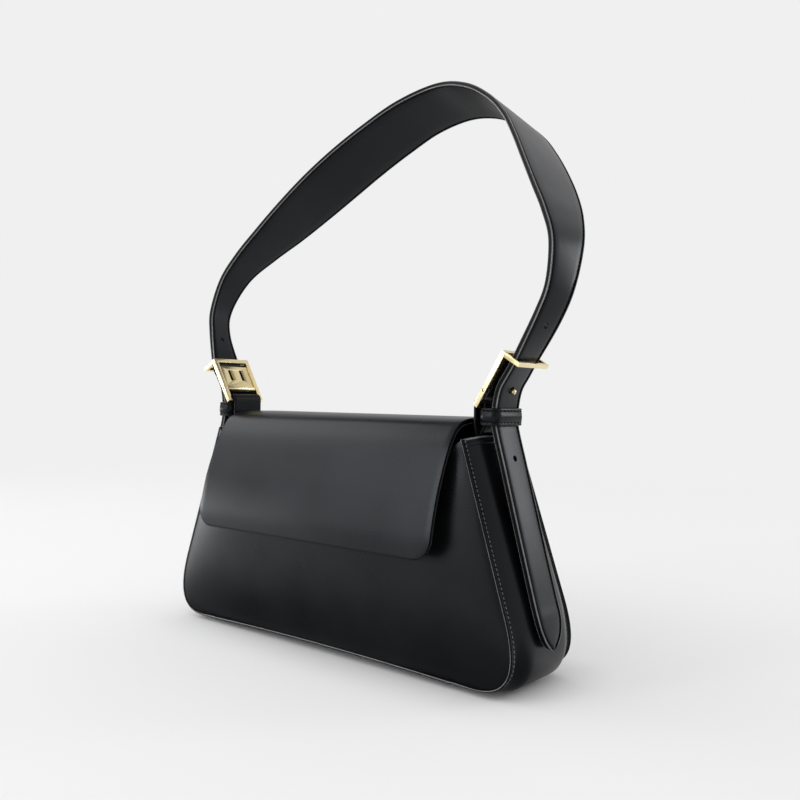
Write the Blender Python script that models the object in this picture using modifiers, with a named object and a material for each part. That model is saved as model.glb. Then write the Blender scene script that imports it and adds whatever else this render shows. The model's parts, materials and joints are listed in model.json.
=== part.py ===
"""Trapezoid shoulder bag with a front flap, side gussets and a wide strap held by two buckles.

Metres, +Z up. The bag stands on its base at Z 0, its front faces -Y, and +X is its right side.
"""
import math

import bmesh
import bpy
from mathutils import Matrix, Vector

# Bag body
BASE_LENGTH = 0.294          # front panel's bottom edge, measured to its square corners
MOUTH_LENGTH = 0.2054        # front panel's length at the height of the mouth
MOUTH_HEIGHT = 0.1355        # top rim of the two gussets
BASE_DEPTH = 0.0648          # front to back over the panels, at the bottom edge
MOUTH_DEPTH = 0.0594         # the same at the mouth
EDGE_LIFT = 0.0045           # the panels' bottom edges above the floor
EDGE_ARCH = 0.0020           # how far those edges rise in the middle
CORNER_HEIGHT = 0.0444       # where a side edge starts to turn under
CORNER_RUN = 0.0315          # where it ends, measured from the square corner
CORNER_SHARES = (0.60, 0.76)     # handles of the corner's curve towards the square corner
FRONT_DIP = 0.0075           # the front panel's top edge below the mouth, under the flap
DIP_POWER = 12               # how sharply that edge rises to its corners
FRONT_BULGE = 0.008          # a filled bag's belly
BACK_BULGE = 0.004
SHOULDER_SHARE = 0.65        # of the way in from the mouth's end to the hinge's end
BASE_TURN_SHARE = 0.35       # of the half depth, where the base rises to its seams
SIDE_BULGE = 0.0065          # how far the gussets stand out between their seams
SEAM_MARGIN = 0.0042         # flat strip of gusset beside a seam
JOINT_SETBACK = 0.0125       # the gussets end this far inside the round corners
BINDING_WIDTH = 0.0033
BINDING_THICKNESS = 0.0010

# Sheet goods
LEATHER = 0.0014
LINING = 0.0008
GAP = 0.0003                 # between pieces that touch
BASE_BOARD_THICKNESS = 0.0012
BASE_BOARD_MARGIN = 0.0010   # inside the level part of the base
BASE_BOARD_SETBACK = 0.0050  # inside the gussets' ends
POCKET_LENGTH = 0.120
POCKET_DEPTH = 0.063
POCKET_DROP = 0.0275         # its opening below the mouth
LINING_DROP = 0.0025         # lining edges below the leather edges round the mouth

# Flap
FLAP_SIDE_STEP = 0.0050      # its sides inside the mouth's ends
HINGE_RISE = 0.0080          # where it leaves the back panel, above the mouth
HINGE_GAP = 0.0006
FLAP_CROWN = 0.0041          # its highest surface above that line
FLAP_DROP = 0.0646           # its front edge below the mouth
FLAP_STANDOFF = 0.0207       # its front edge in front of the mouth
FLAP_CORNER = 0.012
FLAP_LEATHER = 0.0009
FLAP_BOARD = 0.0009
FLAP_LINING = 0.0007
FLAP_LINING_START = 0.006    # from the hinge, along the leather
FLAP_BOARD_INSET = 0.004
FLAP_BOARD_SETBACK = 0.0075  # the board's upper edge below the hinge line

# Hidden magnets
MAGNET_DIAMETER = 0.012
MAGNET_RISE = 0.017          # above the flap's front edge
FRONT_MAGNET_THICKNESS = 0.0012
FLAP_MAGNET_THICKNESS = 0.0007
MAGNET_CLEARANCE = 0.0006    # round the flap's magnet in its board

# Buckles
HARDWARE_SETBACK = -0.0052   # middle of the tabs and buckles, in Y
HEEL_RISE = 0.0198           # heel bar above the mouth
HEEL_STANDOUT = 0.0011       # heel bar outside the tab's middle
FRAME_LEAN = math.radians(31.5)
FRAME_WIRE = 0.0030
FRAME_WIDTH = 0.0310         # over both legs
FRAME_LENGTH = 0.0320        # heel bar to inner bar
FRAME_ROUND = 0.0005
LOOP_STEP = 0.0110           # outer bar in front of the inner bar
LOOP_WALL = 0.0024
LOOP_HEIGHT = 0.0034
LOOP_INSET = 0.0002          # the loop's sides behind the legs' outer faces
PLATE_START = 0.0072         # stud plate above the heel bar
PLATE_END = 0.0275
PLATE_THICKNESS = 0.0012
SLOT_WIDTH = 0.0022
SLOT_LENGTH = 0.0090
SLOT_SPREAD = 0.0100
PIN_DIAMETER = 0.0016
BARREL_DIAMETER = 0.0036
PIN_CLEARANCE = 0.0003
STUD_HEIGHT = 0.0134         # above the heel bar
STUD_NECK = 0.0018
STUD_BALL = 0.0034
STUD_REACH = 0.0096          # ball's middle in front of the frame's middle plane
STUD_FLANGE = 0.0044
STUD_FLANGE_THICKNESS = 0.0007

# Tabs and keepers
TAB_WIDTH = 0.0205
TAB_LEATHER = 0.0015
TAB_ROOT = 0.020             # sewn length below the mouth
KEEPER_WALL = 0.0012
KEEPER_HEIGHT = 0.0097
KEEPER_DROP = 0.0021         # its top below the heel bar's middle
KEEPER_SLACK = 0.0004

# Strap
PLY = 0.0012                 # one of its two layers
STRAP_END_WIDTH = 0.0210
STRAP_WIDTH = 0.0580         # at its shoulders
STRAP_SPREAD = 0.0169        # its widest point outside the outer bars
STRAP_RISE = 0.1965          # its crown above the outer bars
STRAP_LEAN = 0.1040          # its crown behind the buckles
STRAP_STANDOFF = 0.0094      # strap's middle outside the heel bar, at the keeper
STRAP_IN_LOOP = 0.0055       # strap's middle in front of the frame, under the outer bar
TAIL_TIP = 0.0255            # tip of the tail above the floor
TAIL_POINT = 0.018           # length of its pointed end
PLY_GAP = 0.0004
TAIL_CLEARANCE = 0.0006
HOLE_DIAMETER = 0.0032
HOLE_PITCH = 0.040
# Shares of half the span, the rise, the lean and the width, then the tilt in degrees
STRAP_SHARES = (
    (0.967, 0.123, 0.033, 0.362, 12.0),
    (1.000, 0.214, 0.076, 0.386, 12.5),
    (0.981, 0.337, 0.178, 0.518, 8.0),
    (0.916, 0.432, 0.296, 0.697, 4.5),
    (0.830, 0.522, 0.419, 0.852, 2.0),
    (0.731, 0.620, 0.543, 0.952, -0.5),
    (0.626, 0.718, 0.665, 0.997, -3.0),
    (0.517, 0.807, 0.776, 0.993, -5.0),
    (0.381, 0.890, 0.874, 0.952, -7.5),
    (0.202, 0.965, 0.950, 0.890, -10.4),
    (0.000, 1.000, 1.000, 0.831, -14.0),
)

# The flap's profile from the hinge to the front edge: shares of the way from the back panel to
# the front reach, and of the way from the front edge up to the top
FLAP_PROFILE_SHARES = (
    (0.001, 0.970), (0.018, 0.986), (0.055, 0.995), (0.143, 0.999), (0.368, 1.000), (0.519, 0.997),
    (0.619, 0.978), (0.698, 0.930), (0.757, 0.855), (0.807, 0.764), (0.863, 0.627),
    (0.932, 0.419), (0.986, 0.171), (1.000, 0.000),
)
# How far out from the middle the columns of a gusset and of a panel lie, as shares of the half
GUSSET_COLUMN_SHARES = (1.0, 0.86, 0.66, 0.38, 0.0)
PANEL_COLUMN_SHARES = (1.0, 0.93, 0.78, 0.55, 0.28, 0.0)
POINT_SHARES = ((0.0, 0.14), (0.06, 0.34), (0.20, 0.56), (0.42, 0.78), (0.70, 0.94), (1.0, 1.0))

# Mesh steps
SIDE_STEPS = 5
CORNER_STEPS = 6
BASE_STEPS = 6
POCKET_STEPS = 4
FLAP_COLUMNS = 2
FLAP_CORNER_STEPS = 4
BALL_STEPS = 6
FOLD_STEPS = 10
STRAP_COLUMNS = 3
ROUND_STEPS = 16
SHARP_EDGE = math.radians(40)
CUT_OVERRUN = 0.004          # how far a cutter passes its piece

# Finishes: colour, roughness, metallic
BLACK_LEATHER = ((0.012, 0.012, 0.013, 1.0), 0.36, 0.0)
BLACK_LINING = ((0.02, 0.02, 0.021, 1.0), 0.85, 0.0)
PALE_GOLD = ((0.86, 0.70, 0.42, 1.0), 0.18, 1.0)
FIBRE_BOARD = ((0.23, 0.17, 0.11, 1.0), 0.9, 0.0)
STEEL = ((0.55, 0.55, 0.56, 1.0), 0.3, 1.0)

SIDES = {"right": 1, "left": -1}

SIDE_SLOPE = (BASE_LENGTH - MOUTH_LENGTH) / 2 / (MOUTH_HEIGHT - EDGE_LIFT)
SIDE_LEAN = math.atan(SIDE_SLOPE)
CORNER_END = BASE_LENGTH / 2 - CORNER_RUN
JOINT_REACH = CORNER_END - JOINT_SETBACK
FRONT_HEIGHT = MOUTH_HEIGHT - FRONT_DIP
HINGE_HEIGHT = MOUTH_HEIGHT + HINGE_RISE
FLAP_LENGTH = MOUTH_LENGTH - 2 * FLAP_SIDE_STEP
FLAP_TOP = HINGE_HEIGHT + FLAP_CROWN
FLAP_BOTTOM = MOUTH_HEIGHT - FLAP_DROP
FLAP_REACH = MOUTH_DEPTH / 2 + FLAP_STANDOFF
MAGNET_HEIGHT = FLAP_BOTTOM + MAGNET_RISE


def clear_scene():
    for item in list(bpy.data.objects):
        bpy.data.objects.remove(item, do_unlink=True)


def make_collection(name):
    collection = bpy.data.collections.new(name)
    bpy.context.scene.collection.children.link(collection)
    return collection


def make_material(name, finish):
    colour, roughness, metallic = finish
    material = bpy.data.materials.new(name)
    material.use_nodes = True
    shader = material.node_tree.nodes["Principled BSDF"]
    shader.inputs["Base Color"].default_value = colour
    shader.inputs["Roughness"].default_value = roughness
    shader.inputs["Metallic"].default_value = metallic
    material.diffuse_color = colour
    return material


def add_object(name, mesh, finish, collection):
    piece = bpy.data.objects.new(name, mesh)
    collection.objects.link(piece)
    if finish is not None:
        mesh.materials.append(make_material(name, finish))
    return piece


def mesh_from(bm, name):
    mesh = bpy.data.meshes.new(name)
    bm.to_mesh(mesh)
    bm.free()
    return mesh


def sheet(name, rows, thickness, finish, collection):
    """A sheet of even thickness on both sides of a surface given row by row."""
    bm = bmesh.new()
    down = len(rows) - 1
    across = len(rows[0]) - 1
    bmesh.ops.create_grid(bm, x_segments=across, y_segments=down, size=1)
    bm.verts.ensure_lookup_table()
    for index, vert in enumerate(bm.verts):
        vert.co = rows[index // (across + 1)][index % (across + 1)]
    bmesh.ops.recalc_face_normals(bm, faces=bm.faces)
    piece = add_object(name, mesh_from(bm, name), finish, collection)
    wall = piece.modifiers.new("wall", "SOLIDIFY")
    wall.thickness = thickness
    wall.offset = 0
    wall.use_even_offset = True
    return piece


def cut(piece, cutter):
    cutter.hide_render = True
    cutter.display_type = "WIRE"
    modifier = piece.modifiers.new("cut", "BOOLEAN")
    modifier.operation = "DIFFERENCE"
    modifier.solver = "EXACT"
    modifier.object = cutter


def unite(piece, other):
    other.hide_render = True
    other.display_type = "WIRE"
    modifier = piece.modifiers.new("join", "BOOLEAN")
    modifier.operation = "UNION"
    modifier.solver = "EXACT"
    modifier.object = other


def bevel(piece, width):
    modifier = piece.modifiers.new("edges", "BEVEL")
    modifier.width = width
    modifier.segments = 2
    modifier.limit_method = "ANGLE"


def rod(name, diameter, length, finish, collection):
    """A cylinder along Z, centred on its origin."""
    bm = bmesh.new()
    bmesh.ops.create_cone(bm, cap_ends=True, segments=ROUND_STEPS, radius1=diameter / 2,
                          radius2=diameter / 2, depth=length)
    piece = add_object(name, mesh_from(bm, name), finish, collection)
    piece.data.shade_smooth()
    piece.data.set_sharp_from_angle(angle=SHARP_EDGE)
    return piece


def place(piece, position, axis):
    """Turns a piece's Z onto axis and puts its origin at position."""
    turn = Vector((0, 0, 1)).rotation_difference(Vector(axis).normalized())
    piece.matrix_world = Matrix.Translation(position) @ turn.to_matrix().to_4x4()


def smooth_path(points, steps):
    """Points along a smooth curve through the given ones, as vectors of any size."""
    out = []
    count = len(points)
    for i in range(count - 1):
        before = points[max(i - 1, 0)]
        here, there = points[i], points[i + 1]
        after = points[min(i + 2, count - 1)]
        for k in range(steps):
            t = k / steps
            point = []
            for a, b, c, d in zip(before, here, there, after):
                point.append(0.5 * (2 * b + (c - a) * t + (2 * a - 5 * b + 4 * c - d) * t * t
                                    + (3 * b - a - 3 * c + d) * t * t * t))
            out.append(tuple(point))
    out.append(tuple(points[-1]))
    return out


# The bag's outline, seen from the front

def side_line(height):
    """Half length of the panels at a height, on the straight side edge."""
    return BASE_LENGTH / 2 - SIDE_SLOPE * (height - EDGE_LIFT)


def half_depth(height):
    share = (height - EDGE_LIFT) / (MOUTH_HEIGHT - EDGE_LIFT)
    return (BASE_DEPTH + (MOUTH_DEPTH - BASE_DEPTH) * share) / 2


def corner_point(t):
    """A point of the rounded bottom corner, from the side edge (0) to the bottom edge (1)."""
    square = Vector((BASE_LENGTH / 2, EDGE_LIFT))
    start = Vector((side_line(CORNER_HEIGHT), CORNER_HEIGHT))
    end = Vector((CORNER_END, EDGE_LIFT))
    first = start.lerp(square, CORNER_SHARES[0])
    second = end.lerp(square, CORNER_SHARES[1])
    s = 1 - t
    return start * s ** 3 + first * 3 * s * s * t + second * 3 * s * t * t + end * t ** 3


def edge_height(reach):
    """Height of the bottom edge at a distance from the middle."""
    return EDGE_LIFT + EDGE_ARCH * max(0, 1 - (reach / CORNER_END) ** 2)


def side_outline(top):
    """The right half of the outline, from a height down to where the bottom edge starts."""
    points = []
    for k in range(SIDE_STEPS):
        height = top + (CORNER_HEIGHT - top) * k / SIDE_STEPS
        points.append(Vector((side_line(height), height)))
    for k in range(CORNER_STEPS + 1):
        points.append(corner_point(k / CORNER_STEPS))
    return points


def base_outline(start, end, steps):
    """The bottom edge between two distances from the middle."""
    reaches = [start + (end - start) * k / steps for k in range(steps + 1)]
    return [Vector((reach, edge_height(abs(reach)))) for reach in reaches]


def both_ways(columns):
    return [-column for column in columns] + list(reversed(columns[:-1]))


def with_normals(points):
    """Each outline point with its outward direction."""
    out = []
    for i, point in enumerate(points):
        along = points[min(i + 1, len(points) - 1)] - points[max(i - 1, 0)]
        along.normalize()
        out.append((point, Vector((-along.y, along.x))))
    return out


def swell(distance, half):
    """Share of a gusset's bulge at a distance from its middle."""
    room = half - SEAM_MARGIN
    inward = min(max((half - abs(distance) - SEAM_MARGIN) / room, 0), 1)
    return 1 - (1 - inward) ** 4


def base_flat(distance, half):
    """Share of the base's drop at a distance from its middle: level in the middle."""
    t = min(max((half - abs(distance) - SEAM_MARGIN) / (half * BASE_TURN_SHARE), 0), 1)
    return t * t * (3 - 2 * t)


def turn_under(point):
    """0 on the side, 1 on the base."""
    return min(max((CORNER_HEIGHT - point.y) / (CORNER_HEIGHT - EDGE_LIFT - EDGE_ARCH), 0), 1)


def strip_columns(half, depth):
    """Across a gusset or base strip: its edge, the flat stretch beside the seam, the bulge."""
    edge = half - depth
    flat = min(half - SEAM_MARGIN, edge)
    columns = [flat * share for share in GUSSET_COLUMN_SHARES]
    if edge > flat:
        columns = [edge] + columns
    return both_ways(columns)


def stand_out(point, y, bulge):
    """How far a strip's surface stands out from the outline, between its seams."""
    half = half_depth(point.y)
    under = turn_under(point)
    arch = edge_height(abs(point.x)) - EDGE_LIFT
    on_side = bulge[0] * swell(y, half)
    on_base = (bulge[1] + arch) * base_flat(y, half)
    return on_side * (1 - under) + on_base * under


def strip_row(point, normal, depth, inset, bulge, side):
    """One row of a gusset or base strip, across the bag's depth."""
    half = half_depth(point.y)
    row = []
    for y in strip_columns(half, depth):
        out = stand_out(point, y, bulge) - inset
        row.append(Vector((side * (point.x + normal.x * out), y, point.y + normal.y * out)))
    return row


def outer_side(height, y):
    """The gusset's outer surface: distance from the middle plane at a height and depth."""
    surface = []
    for point, normal in with_normals(side_outline(MOUTH_HEIGHT)):
        surface.append(point + normal * stand_out(point, y, (SIDE_BULGE, EDGE_LIFT)))
    for above, below in zip(surface, surface[1:]):
        if below.y <= height:
            share = (above.y - height) / (above.y - below.y)
            return above.lerp(below, share).x
    return surface[-1].x


def beside_outline(height, out):
    """Distance from the middle plane of a sheet that lies parallel to the side edge."""
    return side_line(height) + out / math.cos(SIDE_LEAN)


TAB_THICKNESS = 2 * TAB_LEATHER + GAP
TAB_EDGE = abs(HARDWARE_SETBACK) + TAB_WIDTH / 2
TAB_OUT = (SIDE_BULGE * swell(TAB_EDGE, half_depth(MOUTH_HEIGHT)) - LEATHER - GAP
           - TAB_THICKNESS / 2)
HEEL = Vector((beside_outline(MOUTH_HEIGHT, TAB_OUT) + HEEL_STANDOUT, MOUTH_HEIGHT + HEEL_RISE))
LINING_INSET = LEATHER + GAP + FRONT_MAGNET_THICKNESS + GAP
LINING_BULGE = TAB_OUT - TAB_THICKNESS / 2 + LEATHER
ALONG_LEG = Vector((math.sin(FRAME_LEAN), math.cos(FRAME_LEAN)))
OFF_LEG = Vector((math.cos(FRAME_LEAN), -math.sin(FRAME_LEAN)))


def frame_point(along, off):
    """A point on the right buckle, in X and Z, from the heel bar."""
    return HEEL + ALONG_LEG * along + OFF_LEG * off


# Panels

def panel_bulge(share_across, height, top, amount):
    rise = min(max((height - EDGE_LIFT) / (top - EDGE_LIFT), 0), 1)
    return amount * 4 * rise * (1 - rise) * (1 - share_across ** 4)


def panel_rows(outline, middle_top, inset, facing, amount, bulge_top):
    """Rows of a front (-1) or back (+1) panel that fan out to the points of the outline."""
    rows = []
    count = len(outline) - 1
    bottom = outline[-1].y + EDGE_ARCH
    for k, end in enumerate(outline):
        middle = middle_top + (bottom - middle_top) * k / count
        power = DIP_POWER if k == 0 else 2
        row = []
        for share in both_ways(PANEL_COLUMN_SHARES):
            z = middle + (end.y - middle) * abs(share) ** power
            y = half_depth(z) - inset + panel_bulge(share, z, bulge_top, amount)
            row.append(Vector((end.x * share, facing * y, z)))
        rows.append(row)
    return rows


def inset_outline(points, inset, top):
    """An outline drawn in by a distance, with its top row kept level."""
    out = []
    for point, normal in with_normals(points):
        out.append(point - normal * inset)
    out[0].y = top
    out[-1].y = points[-1].y + inset
    return out


def make_front_panel(collection):
    rows = panel_rows(side_outline(MOUTH_HEIGHT), FRONT_HEIGHT, LEATHER / 2, -1, FRONT_BULGE,
                      FRONT_HEIGHT)
    return sheet("front_panel", rows, LEATHER, BLACK_LEATHER, collection)


def make_back_panel(collection):
    top = HINGE_HEIGHT
    outline = side_outline(MOUTH_HEIGHT)
    hinge_end = Vector((FLAP_LENGTH / 2, top))
    shoulder = Vector((outline[0].lerp(hinge_end, SHOULDER_SHARE).x, (MOUTH_HEIGHT + top) / 2))
    outline = [hinge_end, shoulder] + outline
    rows = panel_rows(outline, top, LEATHER / 2, 1, BACK_BULGE, top)
    return sheet("back_panel", rows, LEATHER, BLACK_LEATHER, collection)


def make_panel_lining(name, facing, middle_top, amount, bulge_top, collection):
    top = MOUTH_HEIGHT - LINING_DROP
    outline = inset_outline(side_outline(top), LEATHER + GAP, top)
    rows = panel_rows(outline, middle_top - LINING_DROP, LINING_INSET + LINING / 2, facing,
                      amount, bulge_top)
    return sheet(name, rows, LINING, BLACK_LINING, collection)


def make_gusset(name, side, collection):
    outline = side_outline(MOUTH_HEIGHT) + base_outline(CORNER_END, JOINT_REACH, 2)[1:]
    bulge = (SIDE_BULGE, EDGE_LIFT)
    rows = [strip_row(p, n, LEATHER + GAP, LEATHER / 2, bulge, side)
            for p, n in with_normals(outline)]
    return sheet(name, rows, LEATHER, BLACK_LEATHER, collection)


def make_gusset_lining(name, side, collection):
    outline = side_outline(MOUTH_HEIGHT - LINING_DROP) + base_outline(CORNER_END, JOINT_REACH,
                                                                      2)[1:]
    bulge = (LINING_BULGE, LINING_BULGE)
    depth = LINING_INSET + LINING + GAP
    rows = [strip_row(p, n, depth, LEATHER + GAP + LINING / 2, bulge, side)
            for p, n in with_normals(outline)]
    return sheet(name, rows, LINING, BLACK_LINING, collection)


def make_base(name, depth, inset, drop, thickness, finish, collection):
    reach = JOINT_REACH - GAP
    outline = base_outline(reach, -reach, BASE_STEPS)
    rows = []
    for point in outline:
        rows.append(strip_row(point, Vector((0, -1)), depth, inset, (0, drop), 1))
    return sheet(name, rows, thickness, finish, collection)


def make_base_board(collection):
    depth = BASE_DEPTH * (1 - BASE_TURN_SHARE) - 2 * (SEAM_MARGIN + BASE_BOARD_MARGIN)
    length = 2 * (JOINT_REACH - BASE_BOARD_SETBACK)
    board = box("base_board", (length, depth, BASE_BOARD_THICKNESS), FIBRE_BOARD, collection)
    board.location = (0, 0, LEATHER + GAP + BASE_BOARD_THICKNESS / 2)
    return board


def make_binding(name, facing, collection):
    """The strip that covers a seam from one end of the mouth round the bottom to the other."""
    right = side_outline(MOUTH_HEIGHT)
    base = base_outline(right[-1].x, -right[-1].x, BASE_STEPS)[1:-1]
    left = [Vector((-p.x, p.y)) for p in reversed(right)]
    rows = []
    for point, normal in with_normals(right + base + left):
        at = point + normal * (GAP + BINDING_THICKNESS / 2)
        half = half_depth(point.y)
        rows.append([Vector((at.x, facing * half, at.y)),
                     Vector((at.x, facing * (half - BINDING_WIDTH), at.y))])
    return sheet(name, rows, BINDING_THICKNESS, BLACK_LEATHER, collection)


def make_pocket(collection):
    """A slip pocket's front sheet, on the back lining."""
    inset = LINING_INSET + LINING + GAP + LINING / 2
    rows = []
    for k in range(POCKET_STEPS + 1):
        height = MOUTH_HEIGHT - POCKET_DROP - POCKET_DEPTH * k / POCKET_STEPS
        row = []
        for share in both_ways(PANEL_COLUMN_SHARES):
            x = POCKET_LENGTH / 2 * share
            y = half_depth(height) - inset + panel_bulge(x / side_line(height), height,
                                                         HINGE_HEIGHT, BACK_BULGE)
            row.append(Vector((x, y, height)))
        rows.append(row)
    return sheet("inner_pocket", rows, LINING, BLACK_LINING, collection)


# Flap

def flap_profile():
    """The flap's outer surface from the hinge to the front edge, as (Y, Z)."""
    back = half_depth(HINGE_HEIGHT)
    points = [(back, HINGE_HEIGHT + HINGE_GAP)]
    for y_share, z_share in FLAP_PROFILE_SHARES:
        points.append((back - (back + FLAP_REACH) * y_share,
                       FLAP_BOTTOM + (FLAP_TOP - FLAP_BOTTOM) * z_share))
    return [Vector(p) for p in smooth_path(points, 2)]


def flap_surface(offset):
    """The profile moved inwards, with the length run at each point."""
    profile = flap_profile()
    run = 0.0
    out = []
    for i, point in enumerate(profile):
        along = profile[min(i + 1, len(profile) - 1)] - profile[max(i - 1, 0)]
        along.normalize()
        inward = Vector((-along.y, along.x))
        if i:
            run += (point - profile[i - 1]).length
        out.append((point + inward * offset, run))
    return out


def flap_rows(offset, inset, start, top):
    """Rows of a flap layer from a distance along the leather; its lower corners are round."""
    surface = flap_surface(offset)
    length = surface[-1][1] - inset
    radius = FLAP_CORNER - inset
    rows = []
    corner = [length - radius * (1 - math.sin(math.pi / 2 * k / FLAP_CORNER_STEPS))
              for k in range(FLAP_CORNER_STEPS + 1)]
    runs = [run for p, run in surface if start <= run < length - radius - GAP and p.y <= top]
    runs += corner
    for run in runs:
        point = point_at(surface, run)
        over = max(run - (length - radius), 0)
        half = FLAP_LENGTH / 2 - inset - radius + math.sqrt(max(radius ** 2 - over ** 2, 0))
        rows.append([Vector((half * (2 * k / FLAP_COLUMNS - 1), point.x, point.y))
                     for k in range(FLAP_COLUMNS + 1)])
    return rows


def point_at(surface, run):
    for (a, start), (b, end) in zip(surface, surface[1:]):
        if start <= run <= end:
            return a.lerp(b, (run - start) / (end - start))
    return surface[-1][0]


def flap_depth_at(height):
    """The flap's outer surface at a height on its front, and its direction downwards."""
    profile = flap_profile()
    for a, b in zip(profile, profile[1:]):
        if b.y <= height <= a.y and a.x < 0:
            share = (a.y - height) / (a.y - b.y)
            return a.lerp(b, share), (b - a).normalized()
    return profile[-1], Vector((0, -1))


def make_flap(collection, cutters):
    leather = sheet("flap_leather", flap_rows(FLAP_LEATHER / 2, 0, 0, FLAP_TOP),
                    FLAP_LEATHER, BLACK_LEATHER, collection)
    board_offset = FLAP_LEATHER + GAP + FLAP_BOARD / 2
    board_top = HINGE_HEIGHT - FLAP_BOARD_SETBACK
    board = sheet("flap_board", flap_rows(board_offset, FLAP_BOARD_INSET, FLAP_LINING_START,
                                          board_top), FLAP_BOARD, FIBRE_BOARD, collection)
    lining_offset = FLAP_LEATHER + GAP + FLAP_BOARD + GAP + FLAP_LINING / 2
    lining = sheet("flap_lining", flap_rows(lining_offset, 0, FLAP_LINING_START, FLAP_TOP),
                   FLAP_LINING, BLACK_LINING, collection)
    surface, along = flap_depth_at(MAGNET_HEIGHT)
    inward = Vector((-along.y, along.x))
    middle = surface + inward * board_offset
    axis = (0, inward.x, inward.y)
    magnet = rod("flap_magnet", MAGNET_DIAMETER, FLAP_MAGNET_THICKNESS, STEEL, collection)
    place(magnet, Vector((0, middle.x, middle.y)), axis)
    hole = rod("flap_board_hole", MAGNET_DIAMETER + 2 * MAGNET_CLEARANCE, CUT_OVERRUN, None,
               cutters)
    place(hole, Vector((0, middle.x, middle.y)), axis)
    cut(board, hole)
    return [leather, board, lining, magnet]


def make_front_magnet(collection):
    """Between the front panel and its lining, on the slope of the panel."""
    def depth(height):
        return half_depth(height) + panel_bulge(0, height, FRONT_HEIGHT, FRONT_BULGE)
    radius = MAGNET_DIAMETER / 2
    rise = depth(MAGNET_HEIGHT + radius) - depth(MAGNET_HEIGHT - radius)
    axis = Vector((0, -MAGNET_DIAMETER, -rise)).normalized()
    offset = LEATHER + GAP + FRONT_MAGNET_THICKNESS / 2
    at = Vector((0, -depth(MAGNET_HEIGHT), MAGNET_HEIGHT)) - axis * offset
    magnet = rod("front_magnet", MAGNET_DIAMETER, FRONT_MAGNET_THICKNESS - GAP / 2, STEEL,
                 collection)
    place(magnet, at, axis)
    return magnet


# Buckles

def ring(name, width, length, bar, depth, finish, collection):
    """A square ring in its own XY plane, from 0 to length in Y, extruded along Z."""
    curve = bpy.data.curves.new(name, "CURVE")
    curve.dimensions = "2D"
    curve.fill_mode = "BOTH"
    curve.extrude = depth / 2
    for grow in (bar / 2, -bar / 2):
        spline = curve.splines.new("POLY")
        spline.points.add(3)
        spline.use_cyclic_u = True
        half = width / 2 - bar / 2 + grow
        corners = ((-half, -grow), (half, -grow), (half, length + grow), (-half, length + grow))
        for point, (x, y) in zip(spline.points, corners):
            point.co = (x, y, 0, 1)
    shape = bpy.data.objects.new(name + "_outline", curve)
    collection.objects.link(shape)
    bpy.context.view_layer.update()
    mesh = bpy.data.meshes.new_from_object(shape.evaluated_get(
        bpy.context.evaluated_depsgraph_get()))
    bpy.data.objects.remove(shape, do_unlink=True)
    bm = bmesh.new()
    bm.from_mesh(mesh)
    bmesh.ops.remove_doubles(bm, verts=bm.verts, dist=GAP / 10)
    bm.to_mesh(mesh)
    bm.free()
    mesh.name = name
    return add_object(name, mesh, finish, collection)


def stand_on_leg(piece, side, along, off, turned):
    """Places a piece made flat in XY: its Y goes up the legs, or outwards if turned."""
    at = frame_point(along, off)
    up = Vector((side * ALONG_LEG.x, 0, ALONG_LEG.y))
    out = Vector((side * OFF_LEG.x, 0, OFF_LEG.y))
    second, third = (out, up) if turned else (up, out)
    first = second.cross(third)
    basis = Matrix((first, second, third)).transposed().to_4x4()
    middle = Vector((side * at.x, HARDWARE_SETBACK, at.y))
    piece.matrix_world = Matrix.Translation(middle) @ basis


def make_frame(name, side, collection, cutters):
    frame = ring(name, FRAME_WIDTH, FRAME_LENGTH, FRAME_WIRE, FRAME_WIRE, PALE_GOLD, collection)
    stand_on_leg(frame, side, 0, 0, False)
    loop = ring(name + "_loop", FRAME_WIDTH - 2 * LOOP_INSET, LOOP_STEP, LOOP_WALL, LOOP_HEIGHT,
                None, cutters)
    stand_on_leg(loop, side, FRAME_LENGTH, 0, True)
    unite(frame, loop)
    bore = rod(name + "_bore", PIN_DIAMETER + 2 * PIN_CLEARANCE, FRAME_WIDTH + CUT_OVERRUN, None,
               cutters)
    at = frame_point(PLATE_START + BARREL_DIAMETER / 2, 0)
    place(bore, Vector((side * at.x, HARDWARE_SETBACK, at.y)), (0, 1, 0))
    bevel(frame, FRAME_ROUND)
    cut(frame, bore)
    return frame


def box(name, size, finish, collection):
    bm = bmesh.new()
    bmesh.ops.create_cube(bm, size=1)
    bmesh.ops.scale(bm, vec=size, verts=bm.verts)
    return add_object(name, mesh_from(bm, name), finish, collection)


def make_stud_plate(name, side, collection, cutters):
    width = FRAME_WIDTH - 2 * FRAME_WIRE - 2 * GAP
    length = PLATE_END - PLATE_START - BARREL_DIAMETER / 2
    middle = PLATE_END - length / 2
    plate = box(name, (width, length, PLATE_THICKNESS), PALE_GOLD, collection)
    stand_on_leg(plate, side, middle, 0, False)
    at = frame_point(PLATE_START + BARREL_DIAMETER / 2, 0)
    centre = Vector((side * at.x, HARDWARE_SETBACK, at.y))
    barrel = rod(name + "_barrel", BARREL_DIAMETER, width - GAP, None, cutters)
    place(barrel, centre, (0, 1, 0))
    unite(plate, barrel)
    bore = rod(name + "_bore", PIN_DIAMETER + 2 * PIN_CLEARANCE, width + CUT_OVERRUN, None,
               cutters)
    place(bore, centre, (0, 1, 0))
    cut(plate, bore)
    for k in (-1, 1):
        slot = box(name + "_slot_%d" % (k + 1), (SLOT_WIDTH, SLOT_LENGTH, CUT_OVERRUN), None,
                   cutters)
        stand_on_leg(slot, side, middle + BARREL_DIAMETER / 2, 0, False)
        slot.location.y += k * SLOT_SPREAD / 2
        cut(plate, slot)
    return plate


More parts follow.
